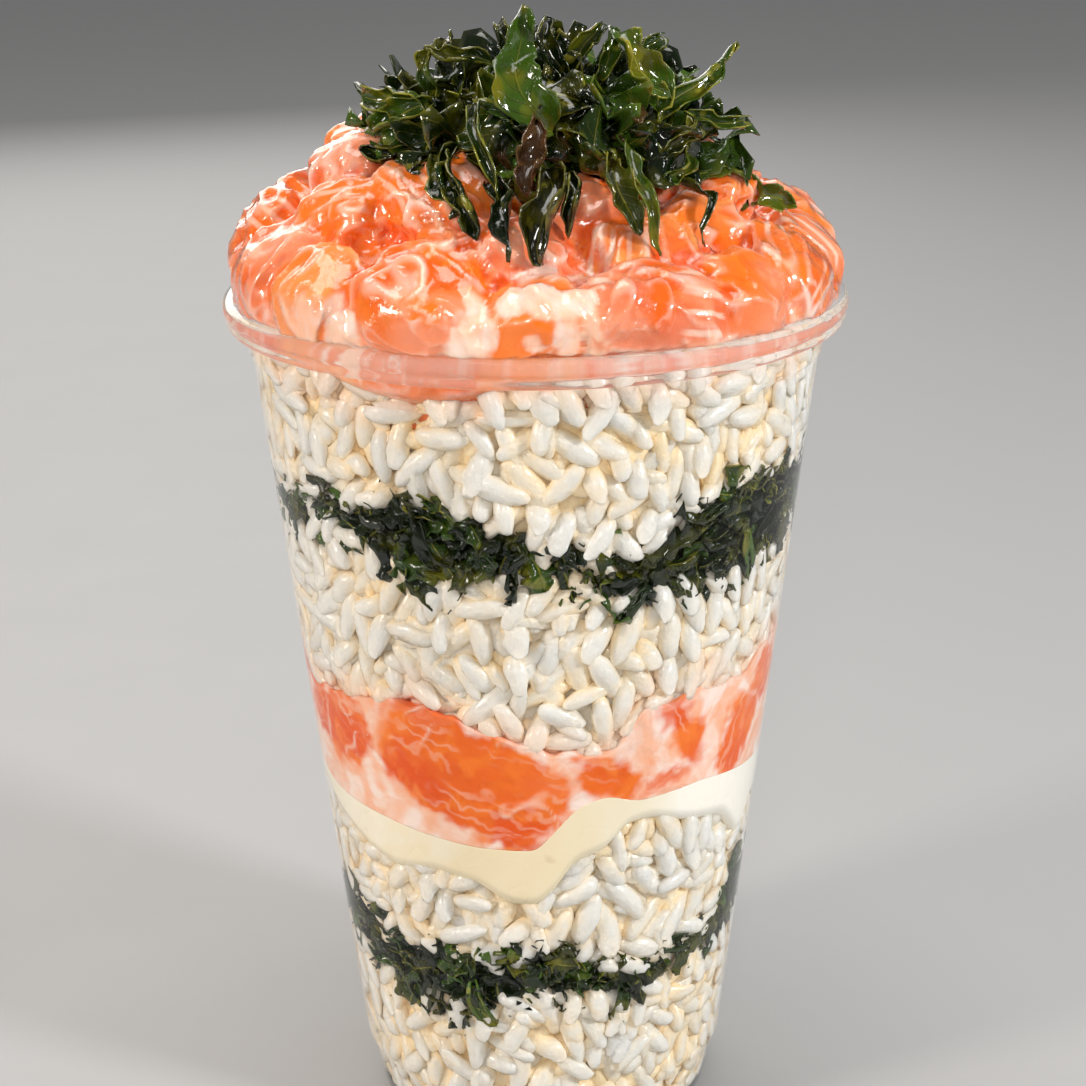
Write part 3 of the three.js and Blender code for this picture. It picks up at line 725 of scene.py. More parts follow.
def grains_on_wall(rng, variants, low, high, look, inset, spacing, taken):
    """One sheet of grains at an inset from the wall, each turned to keep clear of those already laid."""
    grains = []
    for bearing, z in scatter(rng, low, high, spacing):
        size = rng.uniform(0.88, 1.12)
        half_long = look.grain_length / 2 * size * rng.uniform(0.85, 1.3)
        half_wide = look.grain_width / 2 * size
        clump = noise.noise(wall_point(bearing, z) / CLUMP_SIZE + Vector((inset / MM, 0, 0)))
        back = inset + look.unevenness * max(0.0, 0.15 + 1.4 * clump) + rng.uniform(0, 0.5) * MM
        stand = wall_stand(bearing, z, back + half_wide * 0.86)
        best, clearest = None, -1.0
        for _ in range(TRIES):
            steep = rng.gauss(0, 0.22)
            turn = Matrix.Rotation(rng.uniform(0, math.pi), 4, "Y") @ Matrix.Rotation(steep, 4, "Z")
            ends = [np.array(stand @ turn @ Vector((half_long * share, 0, 0))) for share in (-0.7, 0, 0.7)]
            clear = min((np.linalg.norm(taken - end, axis=1).min() for end in ends), default=1.0)
            if clear > clearest:
                best, clearest, kept = turn, clear, ends
        taken = np.vstack((taken, kept))
        roll = Matrix.Rotation(rng.uniform(0, TURN), 4, "X")
        stretch = Matrix.Diagonal((half_long, half_wide, half_wide * rng.uniform(0.85, 1), 1))
        placing = np.array(stand @ best @ roll @ stretch)
        points, faces = rng.choice(variants)
        grains.append((pressed(points @ placing[:3, :3].T + placing[:3, 3]), faces))
    return grains, taken


def tucked(points, low, high):
    """Points that reach beyond a layer's seams lie a little further in, behind their neighbours."""
    bearings = bearings_of(points)
    beyond = np.maximum(low(bearings) - points[:, 2], points[:, 2] - high(bearings))
    depth = smoothstep(1 * MM, 2.4 * MM, beyond) * 1.2 * MM
    points[:, :2] *= (1 - depth / np.maximum(radii_of(points), MM))[:, None]
    return points


def stained(node, points):
    """How far the salmon beside a layer of rice stains it, from 0 to 1."""
    bearings, away = bearings_of(points), 1
    if node == "rice_upper":
        above = points[:, 2] - seam("salmon_top")(bearings)
        away = np.where(above > -4 * MM, above, 1)
    elif node == "rice_top":
        away = seam("heap_bottom")(bearings) - points[:, 2]
    return smoothstep(6 * MM, 0, away + 5 * MM * lumps(points, 6 * MM, 21))


# Two sheets of whole grains at the wall: inset, and spacing in widths of a grain.
GRAIN_SHEETS = ((0.0, 1.02), (0.9 * MM, 0.98))
MASS_INSET = 1.9 * MM
CORE_INSET = 3.0 * MM


def build_rice(settings):
    """Each layer is two sheets of whole grains at the wall over a mass of fused grains round a core."""
    material = rice_material(settings)
    width = settings.grain_width
    layers = {
        "rice_bottom": (level(FLOOR_TOP + 0.2 * MM), seam("lower_greens_bottom")),
        "rice_lower": (seam("lower_greens_top"), seam("cream_bottom")),
        "rice_upper": (seam("salmon_top"), seam("upper_greens_bottom")),
        "rice_top": (seam("upper_greens_top"), seam("heap_bottom")),
    }
    for number, (node, (low, high)) in enumerate(layers.items()):
        rng = random.Random(settings.seed + number)
        variants = [grain_shape(rng) for _ in range(VARIANTS)]
        base = (lambda bearing: low(bearing) + 0.3 * width) if number == 0 else low
        limits = (lambda bearing: base(bearing) - 0.3 * width, lambda bearing: high(bearing) + 0.3 * width)
        far_off = np.full((1, 3), 9.0)
        taken, shown = far_off, []
        for inset, spacing in GRAIN_SHEETS:
            grains, taken = grains_on_wall(rng, variants, *limits, settings, inset, spacing * width, taken)
            shown += grains
        hidden, _ = grains_on_wall(rng, variants, *limits, settings, MASS_INSET, width, far_off)
        core = layer_solid(node + "_core", low, high, around=120, inset=CORE_INSET)
        hidden.append((points_of(core), faces_of(core)))
        mass = remeshed(joined(node + "_loose", hidden, {}), settings.voxel, adaptivity=0.03)
        shown.append((evened(mass, points_of(mass), 1), faces_of(mass)))
        tones = [np.full(len(points), rng.random()) for points, _ in shown]
        owners = np.concatenate([np.full(len(points), index) for index, (points, _) in enumerate(shown)])
        mesh = joined(node + "_grains", shown, {"tone": tones})
        # Painted shade: the creases where a grain comes near another are painted warmer.
        paint(mesh, "crease_shade", gaps(points_of(mesh), owners, 1.1 * MM))
        points = pressed(points_of(mesh))
        points[:, 2] = np.maximum(points[:, 2], FLOOR_TOP - CONTACT)
        points = tucked(points, low, high)
        move_points(mesh, points)
        # Painted shade: grains further in from the wall are painted warmer.
        depth = (inner_radius(points[:, 2]) - radii_of(points)) / (4.5 * MM)
        paint(mesh, "depth", np.clip(depth, 0, 1))
        paint(mesh, "stain", stained(node, points))
        place(mesh, material, [node])


# ---- Leaves ----


def leaf_grid(spans, lanes):
    """A flat leaf of unit length: how far along and across it each point lies, and its faces."""
    bm = bmesh.new()
    bmesh.ops.create_grid(bm, x_segments=spans, y_segments=lanes, size=1)
    points, faces = shape_of(bm)
    return (points[:, 0] + 1) / 2, points[:, 1], faces


def leaf_shape(grid, root, tip, facing, rng, width, bow, cup, ruffle, twist, teeth, curl, outline):
    """A thin leaf from its root to its tip. Its blade faces the given way, bows out along it, cups along its
    midrib, twists from end to end, curls at its tip, and has toothed and ruffled sides. The outline's two
    powers say how near its root it is widest and how pointed its ends are."""
    along, across, _ = grid
    stations = np.unique(along)
    root, tip, facing = (np.array(value, float) for value in (root, tip, facing))
    length = np.linalg.norm(tip - root)
    heading = (tip - root) / length
    facing = facing - heading * (facing @ heading)
    facing /= np.linalg.norm(facing)
    beside = np.cross(facing, heading)
    phase, sway = rng.uniform(0, TURN), rng.uniform(-0.12, 0.12)
    share = stations[:, None]
    spine = root + (tip - root) * share + facing * bow * length * 4 * share * (1 - share)
    spine = spine + beside * sway * length * np.sin(TURN * 0.8 * share + phase)
    spine = spine - facing * curl * length * smoothstep(0.55, 1, share) ** 2
    spine = spine + facing * 0.05 * length * np.sin(TURN * 1.3 * share + phase)
    course = np.gradient(spine, stations, axis=0)
    course /= np.linalg.norm(course, axis=1)[:, None]
    side = np.cross(facing, course)
    side /= np.linalg.norm(side, axis=1)[:, None]
    up = np.cross(course, side)
    turn = (twist * (stations - 0.5))[:, None]
    side, up = side * np.cos(turn) + up * np.sin(turn), up * np.cos(turn) - side * np.sin(turn)
    index = np.searchsorted(stations, along)
    edge = np.abs(across)
    half = width / 2 * np.sin(np.pi * along ** outline[0]) ** outline[1]
    saw = np.abs((along * (3.2 + rng.random()) + 0.37 * (across > 0) + phase) % 1 - 0.5) * 2
    half = half * (1 - teeth * saw * edge) + width * 0.02
    bend = cup * edge
    ripple = ruffle * width * edge**2 * np.sin(TURN * (2.6 * along) + phase + 1.7 * (across > 0))
    points = spine[index] + side[index] * (half * across * np.cos(bend))[:, None]
    points = points + up[index] * (half * edge * np.sin(bend) + ripple)[:, None]
    creases = 0.1 * width * lumps(points, 0.4 * width, phase) * smoothstep(0, 0.3, along)
    return points + up[index] * creases[:, None]


class LeafHeap:
    """Gathers leaves into one mesh, with what each point needs for its colour."""

    CLEARANCE = 0.3 * MM
    SUNK = 6 * MM  # points deeper than this in a piece stay there
    LAYERING = 0.12  # share of their former heights that lifted points keep over each other

    def __init__(self, grid):
        self.grid = grid
        self.shapes = []
        self.paints = {key: [] for key in ("leaf_along", "leaf_across", "tone", "edge", "toast")}

    def add(self, points, tone, edge, toast):
        along, across, faces = self.grid
        self.shapes.append((points, faces))
        values = {"leaf_along": along, "leaf_across": across, "tone": tone, "edge": edge, "toast": toast}
        for key, value in values.items():
            self.paints[key].append(np.broadcast_to(value, len(along)))

    def drape_over(self, piece):
        """Lifts the parts of leaves that would sink a little way into a piece onto its surface."""
        skin = BVHTree.FromPolygons(points_of(piece.data), faces_of(piece.data))
        for points, _ in self.shapes:
            for index, point in enumerate(points):
                foot, normal, _, _ = skin.find_nearest(Vector(point))
                height = (Vector(point) - foot).dot(normal)
                if -self.SUNK < height < self.CLEARANCE:
                    points[index] = foot + normal * (self.CLEARANCE + self.LAYERING * (height + self.SUNK))

    def mesh(self, name):
        return joined(name, self.shapes, self.paints)


def thicken(piece, thickness):
    skin = piece.modifiers.new("thickness", "SOLIDIFY")
    skin.thickness = thickness
    skin.offset = 0


def build_greens(settings):
    material = leaf_material("packed_greens", settings)
    for number, node in enumerate(("greens_lower", "greens_upper")):
        rng = random.Random(settings.seed + 10 + number)
        side = "lower_greens" if number == 0 else "upper_greens"
        low, high = seam(side + "_bottom"), seam(side + "_top")
        heap = LeafHeap(leaf_grid(spans=12, lanes=6))
        for bearing, z in scatter(rng, low, high, settings.shred_spacing):
            hanging = z < low(bearing) + 2.5 * MM
            slope = rng.uniform(-2.2, -0.9) if hanging else rng.gauss(0, 0.7)
            length = settings.shred_length * rng.uniform(0.6, 1.15)
            reach = Vector((math.cos(slope), math.sin(slope))) * length / 2
            turn = reach.x / inner_radius(z)
            root = wall_point(bearing - turn, z - reach.y, rng.uniform(0.3, 2.8) * MM)
            tip = wall_point(bearing + turn, z + reach.y, rng.uniform(0.3, 2.8) * MM)
            outwards = wall_point(bearing, 0).normalized() + Vector((0, 0, rng.gauss(0.3, 0.4)))
            points = leaf_shape(
                heap.grid, root, tip, outwards, rng, width=settings.shred_width * rng.uniform(0.6, 1.3),
                bow=rng.uniform(-0.1, 0.14), cup=rng.uniform(-1.7, 1.5), ruffle=rng.uniform(0.15, 0.45),
                twist=rng.uniform(-1.5, 1.5), teeth=rng.uniform(0.1, 0.6), curl=0,
                outline=(1.0, rng.uniform(0.3, 0.6)),
            )
            heap.add(pressed(points), 0.8 * rng.random() ** 2.5, rng.random() ** 3, 0)
        shreds = place(heap.mesh(node + "_shreds"), material, [node])
        thicken(shreds, settings.blade)
        core = layer_solid(
            node + "_core", low, high, around=150, inset=2.6 * MM, side_rows=8, low_edge=1.5 * MM,
            high_edge=1.5 * MM,
        )
        bumps = points_of(core)
        bumps[:, :2] *= (1 + 0.02 * lumps(bumps, 2.5 * MM, number))[:, None]
        move_points(core, bumps)
        place(core, material, [])


# ---- Cream and salmon against the wall ----


def build_cream(settings):
    """The band of cream, with painted light that makes it paler towards +X, the key lamp's side."""
    mesh = layer_solid(
        "cream_band", seam("cream_bottom"), seam("cream_top"), around=360, side_rows=28, low_edge=2.4 * MM,
        high_edge=0,
    )
    points = points_of(mesh)
    # Painted light: paler towards +X, where the key lamp stands.
    paint(mesh, "pale", smoothstep(0.2, 0.8, points[:, 0] / radii_of(points)))
    place(mesh, cream_material(settings), ["cream_sauce"])


# Slices of salmon pressed against the wall: bearing in degrees, height, half length, half height in
# millimetres, turn in degrees and tone, from pale pink at 0 to deep orange at 1.
WALL_SLICES = (
    (-17, 71, 16, 9, -18, 0.9), (-55, 74.5, 6, 7.5, -35, 0.6), (-27, 81, 8, 2, -5, 0.6),
    (-7, 60.2, 5, 1.8, -5, 1.0), (15.5, 71, 5.5, 3.6, -25, 1.0), (31, 69, 4, 1.6, 12, 0.1),
    (36, 77, 7.5, 3, -60, 0.95), (57, 72, 7, 5.5, 75, 0.9), (69, 79.5, 4.5, 5, 60, 0.7),
    (-69, 83, 5.5, 5, 50, 0.5), (-66, 74, 5, 4.5, 20, 0.6), (96, 75, 13, 7.5, -14, 0.85),
    (121, 79.5, 6, 2.5, 40, 0.4), (130, 71, 7, 4.5, 20, 0.95), (150, 77, 9, 4, -35, 0.7),
    (161, 68.5, 5, 2.5, 10, 0.3), (178, 74, 13, 7.5, 15, 0.9), (206, 79, 5, 2.5, -50, 0.5),
    (212, 71, 8, 4.5, -20, 0.95), (233, 76.5, 9, 5, 40, 0.7), (256, 72, 12, 6, -10, 0.9),
    (277, 78, 7, 4.5, -45, 0.6),
)
SQUARENESS = 2.4  # of a slice's outline: 2 is an ellipse


def build_salmon_band(material):
    """Slices of salmon in cream. Each point of the band belongs to the slice it lies deepest in."""
    top = seam("salmon_top")

    def ragged_top(bearing):
        return top(bearing) + 1.3 * MM * noise.noise(wall_point(bearing, 0) / (2.6 * MM))

    mesh = layer_solid(
        "salmon_band", seam("cream_top"), ragged_top, around=440, side_rows=56, low_edge=0,
        high_edge=0.3 * MM,
    )
    points = points_of(mesh)
    bearings = bearings_of(points)
    warp = np.stack([lumps(points, 4 * MM, seed) for seed in (11, 12)], axis=1) * 1.8 * MM
    warp += np.stack([lumps(points, 1.4 * MM, seed) for seed in (13, 14)], axis=1) * 1.1 * MM
    best = np.full(len(points), -9.0)
    grain = np.zeros((len(points), 3))
    tone = np.full(len(points), 0.2)
    for index, (bearing, height, half_long, half_high, turn, slice_tone) in enumerate(WALL_SLICES):
        away = (bearings - math.radians(bearing) + math.pi) % TURN - math.pi
        x = away * inner_radius(height * MM) + warp[:, 0]
        z = points[:, 2] - height * MM + warp[:, 1]
        cos, sin = math.cos(math.radians(turn)), math.sin(math.radians(turn))
        u, v = (x * cos + z * sin), (z * cos - x * sin)
        share = np.abs(u / (half_long * MM)) ** SQUARENESS + np.abs(v / (half_high * MM)) ** SQUARENESS
        size = share ** (1 / SQUARENESS)
        inside = (1 - size) * min(half_long, half_high) * MM
        near = inside > best
        best[near] = inside[near]
        tone[near] = slice_tone
        grain[near] = np.stack([u, v + index * 0.05, 0 * u + index * 0.1], axis=1)[near]
    paint(mesh, "cream", 0.85 - 0.75 * smoothstep(-1.1 * MM, 1.8 * MM, best))
    paint(mesh, "fold", 0.7 * veil(points, 6 * MM, 40))
    # The flat band counts as a little sunk, so painted shade deepens its flesh evenly.
    paint(mesh, "raised", np.full(len(points), 0.22))
    paint(mesh, "lined", 0.4 * smoothstep(-0.3 * MM, 1.2 * MM, best))
    paint(mesh, "tone", 0.7 * tone)
    paint(mesh, "grain", grain)
    place(mesh, material, ["salmon_layer"])


# ---- The salmon heap ----


def copied(node):
    """A welded copy of a solid's mesh."""
    bm = bmesh.new()
    bm.from_mesh(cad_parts[node].data)
    return sealed(bm)


def die_axes(points):
    """The middle of a die and its own axes, longest first."""
    middle = points.mean(axis=0)
    _, _, axes = np.linalg.svd(points - middle, full_matrices=False)
    return middle, axes


# Rice-like lumps in cream at the front of the heap: bearing in degrees, radius and height in millimetres.
PALE_LUMPS = (
    (-17, 46.5, 142.6), (-13, 46.8, 143), (-10.5, 46, 146), (-7, 46.9, 142.9), (-4, 46.3, 145.8),
    (-1, 47, 142.8), (2, 46.4, 146), (5, 47, 142.8), (8, 46.2, 145.6), (11, 46.8, 142.7), (14.5, 46.4, 143.5),
    (-33, 46.5, 142.8), (-37, 46.8, 142.4),
)


def lobe(rng, middle, size, slim, steep):
    """A small rounded piece, its long side round the heap and up it by an angle."""
    bm = bmesh.new()
    bmesh.ops.create_icosphere(bm, subdivisions=3, radius=1)
    bearing = math.atan2(middle.x, -middle.y)
    turn = Matrix.Rotation(bearing, 4, "Z") @ Matrix.Rotation(steep, 4, "Y")
    turn = turn @ Matrix.Rotation(rng.uniform(-0.4, 0.4), 4, "Z")
    stretch = Matrix.Diagonal((size, size * slim * rng.uniform(0.7, 1), size * slim, 1))
    bmesh.ops.transform(bm, matrix=Matrix.Translation(middle) @ turn @ stretch, verts=bm.verts)
    return bm


def heap_bodies(settings, dice):
    """The forms of the heap: each with how far it swells, its tone and its share of fat lines. A tone below
    zero stands for cream."""
    rng = random.Random(settings.seed + 30)
    bodies = [(copied("salmon_heap"), 0.9 * MM, 0.5, 0.0)]
    for name in dice:
        bm = copied(name)
        bmesh.ops.subdivide_edges(bm, edges=bm.edges, cuts=3, use_grid_fill=True)
        axes = {"use_axis_x": True, "use_axis_y": True, "use_axis_z": True}
        bmesh.ops.smooth_vert(bm, verts=bm.verts, factor=0.3, **axes)
        bodies.append((bm, settings.swell * rng.uniform(0.3, 1.7), rng.random(), rng.random()))
    low = CUP_HEIGHT + 3 * MM
    spots = [vertex.co.copy() for bm, *_ in bodies for vertex in bm.verts if vertex.co.z > low]
    for spot in rng.sample(spots, settings.crumbs):
        small = lobe(rng, spot * 0.995, rng.uniform(1.5, 4.2) * MM, 0.65, rng.uniform(0, TURN))
        bodies.append((small, 0, rng.random(), rng.random()))
    for bearing, radius, height in PALE_LUMPS:
        angle = math.radians(bearing)
        middle = Vector((radius * math.sin(angle), -radius * math.cos(angle), height)) * MM
        pale = lobe(rng, middle, rng.uniform(2.7, 3.7) * MM, 0.52, rng.uniform(0.7, 2.3))
        bodies.append((pale, 0, -0.3, 0.0))
    return bodies


def build_heap(settings, material):
    """Grows the forms together under webs of cream, and raises flakes of flesh and folds of cream on them."""
    dice = sorted(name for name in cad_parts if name.startswith("salmon_die_"))
    bodies = heap_bodies(settings, dice)
    whole = bmesh.new()
    samples, owners, stands = [], [], []
    for index, (bm, swell, _, _) in enumerate(bodies):
        bm.normal_update()
        for vertex in bm.verts:
            vertex.co += vertex.normal * (swell + 1.2 * MM * noise.noise(vertex.co / (6 * MM)))
        part = mesh_from(bm, "heap_part")
        points = points_of(part)
        stands.append(die_axes(points))
        if index:
            samples.extend(points)
            owners.extend([index] * len(points))
        whole.from_mesh(part)
        bpy.data.meshes.remove(part)
    mesh = remeshed(mesh_from(whole, "heap_forms"), settings.voxel)
    move_points(mesh, evened(mesh, points_of(mesh), 1) + settings.web * normals_of(mesh))
    mesh = remeshed(mesh, settings.voxel)
    points = evened(mesh, points_of(mesh), 2)
    move_points(mesh, points)
    points -= settings.web * normals_of(mesh)
    move_points(mesh, points)
    outwards = normals_of(mesh)
    owner = np.array(owners)[nearest(points, samples)]
    tones = np.array([tone for _, _, tone, _ in bodies])
    lined = np.array([share for *_, share in bodies])
    grain = np.zeros_like(points)
    for index, (middle, axes) in enumerate(stands):
        mine = owner == index
        grain[mine] = (points[mine] - middle) @ axes.T + np.array([0, 0.031, 0.017]) * index
    ridges = np.maximum(1 - 3 * np.abs(lumps(grain * (0.3, 1, 1), 3.4 * MM, 1)), -0.6)
    relief = 0.5 * evened(mesh, ridges, 2) + 0.5 * lumps(points, 6 * MM, 3) + 0.3 * lumps(points, 2.4 * MM, 2)
    fold = np.maximum(veil(points, 9 * MM, 50), 0.7 * veil(points, 5 * MM, 60))
    fold = fold * smoothstep(-0.45, 0.15, lumps(points, 11 * MM, 70))
    fold = np.maximum(fold, 0.6 * smoothstep(0.3, 1.0, evened(mesh, ridges, 2)))
    points = points + outwards * (relief * settings.lump + fold * settings.fold)[:, None]
    points = clear_of_rim(points)
    move_points(mesh, points)
    rise = ((points - evened(mesh, points, 14)) * normals_of(mesh)).sum(axis=1)
    mesh.name = "salmon_mound"

    cream = 0.02 + 0.3 * smoothstep(0.1, 0.6, lumps(points, 8 * MM, 6))
    cream = np.maximum(cream, tones[owner] < 0)
    paint(mesh, "cream", np.clip(evened(mesh, cream, 3), 0, 1))
    paint(mesh, "fold", fold)
    # How far each point stands above its neighbours; sunk places get painted shade.
    paint(mesh, "raised", 0.5 + np.clip(evened(mesh, rise, 1) / (1.1 * MM), -0.5, 0.5))
    paint(mesh, "tone", evened(mesh, np.abs(tones)[owner], 3))
    paint(mesh, "lined", evened(mesh, smoothstep(0.6, 0.8, lined)[owner], 3))
    paint(mesh, "grain", grain)
    place(mesh, material, ["salmon_heap", *dice])


def clear_of_rim(points):
    """Keeps the heap in the neck and on the rim. Its shoulders slope, and its foot stays behind the rice."""
    points = points.copy()
    slope = smoothstep(CUP_HEIGHT + 3.5 * MM, CUP_HEIGHT + 12 * MM, points[:, 2])
    points[:, :2] *= (1 - 0.07 * slope)[:, None]
    radius = radii_of(points)
    room = 4 * MM
    over = np.maximum(0, radius - RIM_RADIUS + room)
    reach = radius - over + room * np.tanh(over / room)
    points[:, :2] *= (reach / np.maximum(radius, TINY))[:, None]
    below = points[:, 2] < CUP_HEIGHT + 0.1 * MM
    behind = smoothstep(1 * MM, -1 * MM, points[:, 2] - seam("heap_bottom")(bearings_of(points)))
    limit = inner_radius(points[:, 2]) + CONTACT - 3 * MM * behind
    share = np.where(below, np.minimum(1, limit / np.maximum(reach, TINY)), 1)
    points[:, :2] *= share[:, None]
    return points


def build_salmon(settings):
    build_salmon_band(salmon_material("salmon_at_the_wall", settings, glow=0.0, gloss=0.1))
    build_heap(settings, salmon_material("salmon_in_cream", settings, glow=0.7, gloss=0.9))


# ---- The crown of leaves ----

CROWN_MIDDLE = Vector((2 * MM, 0, 162.5 * MM))
CROWN_SIZE = Vector((25 * MM, 22 * MM, 10.5 * MM))

# Leaves that stand out in the crown: root and tip in millimetres, width, how far the blade bows, its cup,
# its twist, tip curl, how near its root it is widest, tone, share of light ribs, edge and painted glints,
# and toasted share.
SHOWN_LEAVES = (
    ((1.8, -22, 167), (-3.2, -15.5, 183.6), 9.2, 0.08, 0.5, 0.3, 0.0, 0.55, 0.6, 0.3, 0),
    ((0.2, -23.5, 168.5), (-1, -30, 159), 7.5, 0.1, 1.0, 0.5, 0.0, 0.9, 0.1, 0.3, 0.75),
    ((0.8, -27, 163), (2.2, -38.6, 150.8), 9.0, 0.1, 1.1, 0.7, 0.0, 1.0, 0.12, 0.4, 0.1),
    ((4.5, -26, 162), (5.5, -32, 154.5), 5.5, 0.15, 1.3, 0.6, 0.1, 1.0, 0.05, 0.5, 0),
    ((-10.4, -20, 164.5), (-9, -35, 153), 7.0, 0.1, 1.2, 0.9, 0.1, 1.1, 0.1, 0.6, 0),
    ((-12.6, -20, 164), (-12, -30, 157), 5.5, 0.12, 1.0, 0.9, 0.1, 0.9, 0.2, 0.8, 0),
    ((-5.6, -26, 160.5), (-2.6, -38, 152.8), 6.0, 0.12, 1.0, 0.9, 0.0, 0.9, 0.05, 0.2, 0),
    ((-8, -17.5, 172), (-5.3, -31, 158), 4.2, 0.12, 1.1, 0.9, 0.0, 0.9, 0.35, 0.8, 0),
    ((11, -22, 162), (14.5, -32, 153.8), 7.5, 0.1, 0.9, 0.5, 0.1, 0.9, 0.5, 0.9, 0.2),
    ((12.8, -20, 165), (17.4, -34.5, 151.4), 3.6, 0.12, 0.8, 0.9, 0.1, 0.8, 0.55, 0.4, 0),
    ((19.5, -14, 159), (24.5, -27, 152.4), 2.8, 0.2, 1.0, 1.2, 0.1, 0.8, 0.15, 0.3, 0),
    ((31, -8, 156), (40, -6, 153.2), 5.5, 0.1, 0.8, 0.6, 0.0, 0.8, 0.9, 0.8, 0),
    ((19.5, -12, 166), (30.1, -8, 178.2), 5.5, -0.14, 1.0, 0.8, 0.0, 0.6, 0.6, 0.9, 0),
    ((22, -12, 167.4), (32.7, -8, 166.4), 4.4, 0.15, 1.1, 0.6, 0.1, 0.8, 0.5, 0.9, 0),
    ((17.2, -13, 168.5), (13.1, -10, 180.6), 8.5, 0.1, 0.8, 0.5, 0.1, 0.7, 0.7, 0.8, 0),
    ((15.5, -14, 172.6), (20, -14, 170.5), 3.0, 0.2, 0.5, 0.5, 0.0, 1.0, 0.9, 1.0, 0),
    ((17.5, -17, 162), (24.5, -14, 168), 4.2, 0.15, 1.0, 0.9, 0.1, 1.0, 0.2, 0.4, 0),
    ((17, -18, 158), (23, -15, 163.5), 4.0, 0.15, 1.0, 0.9, 0.1, 1.0, 0.5, 0.6, 0),
    ((24.8, -12, 158.5), (31, -9, 157.6), 4.4, 0.15, 1.0, 0.9, 0.1, 1.0, 0.5, 0.6, 0),
    ((-6, -12, 175), (-16, -12, 178), 4.6, 0.14, 1.1, 0.7, 0.0, 0.9, 0.3, 0.6, 0),
    ((-14.5, -12, 178.5), (-14.6, -12, 171), 4.2, 0.15, 1.0, 0.5, 0.0, 1.0, 0.4, 0.7, 0),
    ((-14, -13, 167), (-25.3, -12, 172), 8.0, 0.1, 1.0, 0.8, 0.2, 1.0, 0.5, 0.8, 0),
    ((-15, -14, 170), (-24.2, -14, 166), 8.0, 0.1, 1.0, 0.7, 0.1, 1.0, 0.6, 0.7, 0),
    ((-15, -13, 163.5), (-26, -12, 162.5), 7.0, 0.1, 1.2, 0.7, 0.1, 1.0, 0.1, 0.5, 0),
    ((4, -10, 173), (1.5, -6, 181.6), 6.0, 0.1, 1.1, 0.9, 0.2, 0.9, 0.1, 0.4, 0),
    ((6.2, -8, 174), (10, -6, 181.2), 5.5, 0.12, 1.0, 0.9, 0.1, 0.8, 0.3, 0.6, 0),
    ((9.9, -10, 173), (12, -8, 180.5), 5.0, 0.1, 1.0, 0.9, 0.1, 0.8, 0.5, 0.5, 0),
    ((-2, -8, 174), (-5.5, -5, 181), 6.0, 0.1, 1.1, 0.9, 0.2, 0.9, 0.15, 0.4, 0),
    ((15.9, -8, 174), (19, -5, 179.4), 5.5, 0.1, 1.0, 0.9, 0.2, 0.9, 0.4, 0.5, 0),
    ((-11, -6, 172), (-13, -3, 179), 5.5, 0.1, 1.0, 0.9, 0.2, 0.9, 0.1, 0.4, 0),
)


def build_crown(settings):
    material = leaf_material("crisp_leaves", settings)
    rng = random.Random(settings.seed + 20)
    heap = LeafHeap(leaf_grid(spans=16, lanes=8))
    for root, tip, width, bow, cup, twist, curl, widest, tone, edge, toast in SHOWN_LEAVES:
        root, tip = Vector(root) * MM, Vector(tip) * MM
        facing = ((root + tip) / 2 - CROWN_MIDDLE).normalized() + Vector((0, -0.5, 0.1))
        points = leaf_shape(
            heap.grid, root, tip, facing, rng, width * MM, bow, cup, 0.14, twist, 0.35, curl, (widest, 0.7)
        )
        heap.add(points, tone, edge, toast)
    for _ in range(settings.leaves):
        rise = math.asin(rng.uniform(-0.45, 1.0))
        bearing = rng.uniform(0, TURN)
        flat = math.cos(rise)
        ball = Vector((flat * math.sin(bearing), -flat * math.cos(bearing), math.sin(rise)))
        outwards = Vector(ball[i] / CROWN_SIZE[i] for i in range(3)).normalized()
        wander = Vector((rng.gauss(0, 1), rng.gauss(0, 1), rng.gauss(0, 0.8)))
        stand_up = outwards * rng.uniform(-0.1, 0.75) + Vector((0, 0, 0.45 * max(0, ball.z)))
        heading = (stand_up + wander.normalized() * 0.8).normalized()
        length = settings.leaf_length * rng.uniform(0.6, 1.15)
        middle = CROWN_MIDDLE + Vector(ball[i] * CROWN_SIZE[i] for i in range(3)) * rng.uniform(0.68, 1.0)
        root, tip = middle - heading * length * 0.4, middle + heading * length * 0.6
        slim = 0.4 if rng.random() < 0.25 else 1.0
        points = leaf_shape(
            heap.grid, root, tip, outwards + Vector((0, 0, 0.2)), rng,
            width=settings.leaf_width * slim * rng.uniform(0.6, 1.5), bow=rng.uniform(-0.15, 0.25),
            cup=rng.uniform(-1.6, 1.6), ruffle=rng.uniform(0.12, 0.4) * slim, twist=rng.uniform(-1.8, 1.8),
            teeth=rng.uniform(0.1, 0.7), curl=rng.uniform(-0.1, 0.4),
            outline=(rng.uniform(0.7, 1.3), rng.uniform(0.35, 0.65)),
        )
        heap.add(points, rng.random() ** 1.6, rng.random() ** 2.5, 0.8 if rng.random() < 0.07 else 0)
    heap.drape_over(bpy.data.objects["salmon_mound"])
    leaves = place(heap.mesh("crown_leaves"), material, ["leaf_crown"])
    thicken(leaves, settings.blade)
    bm = bmesh.new()
    bmesh.ops.create_uvsphere(bm, u_segments=48, v_segments=24, radius=1)
    stretch = Matrix.Translation(CROWN_MIDDLE) @ Matrix.Diagonal((*CROWN_SIZE * 0.7, 1))
    bmesh.ops.transform(bm, matrix=stretch, verts=bm.verts)
    core = mesh_from(bm, "crown_core")
    points = points_of(core)
    move_points(core, points + normals_of(core) * (1.2 * MM * lumps(points, 4 * MM, 4))[:, None])
    place(core, material, [])


# ---- The stage ----


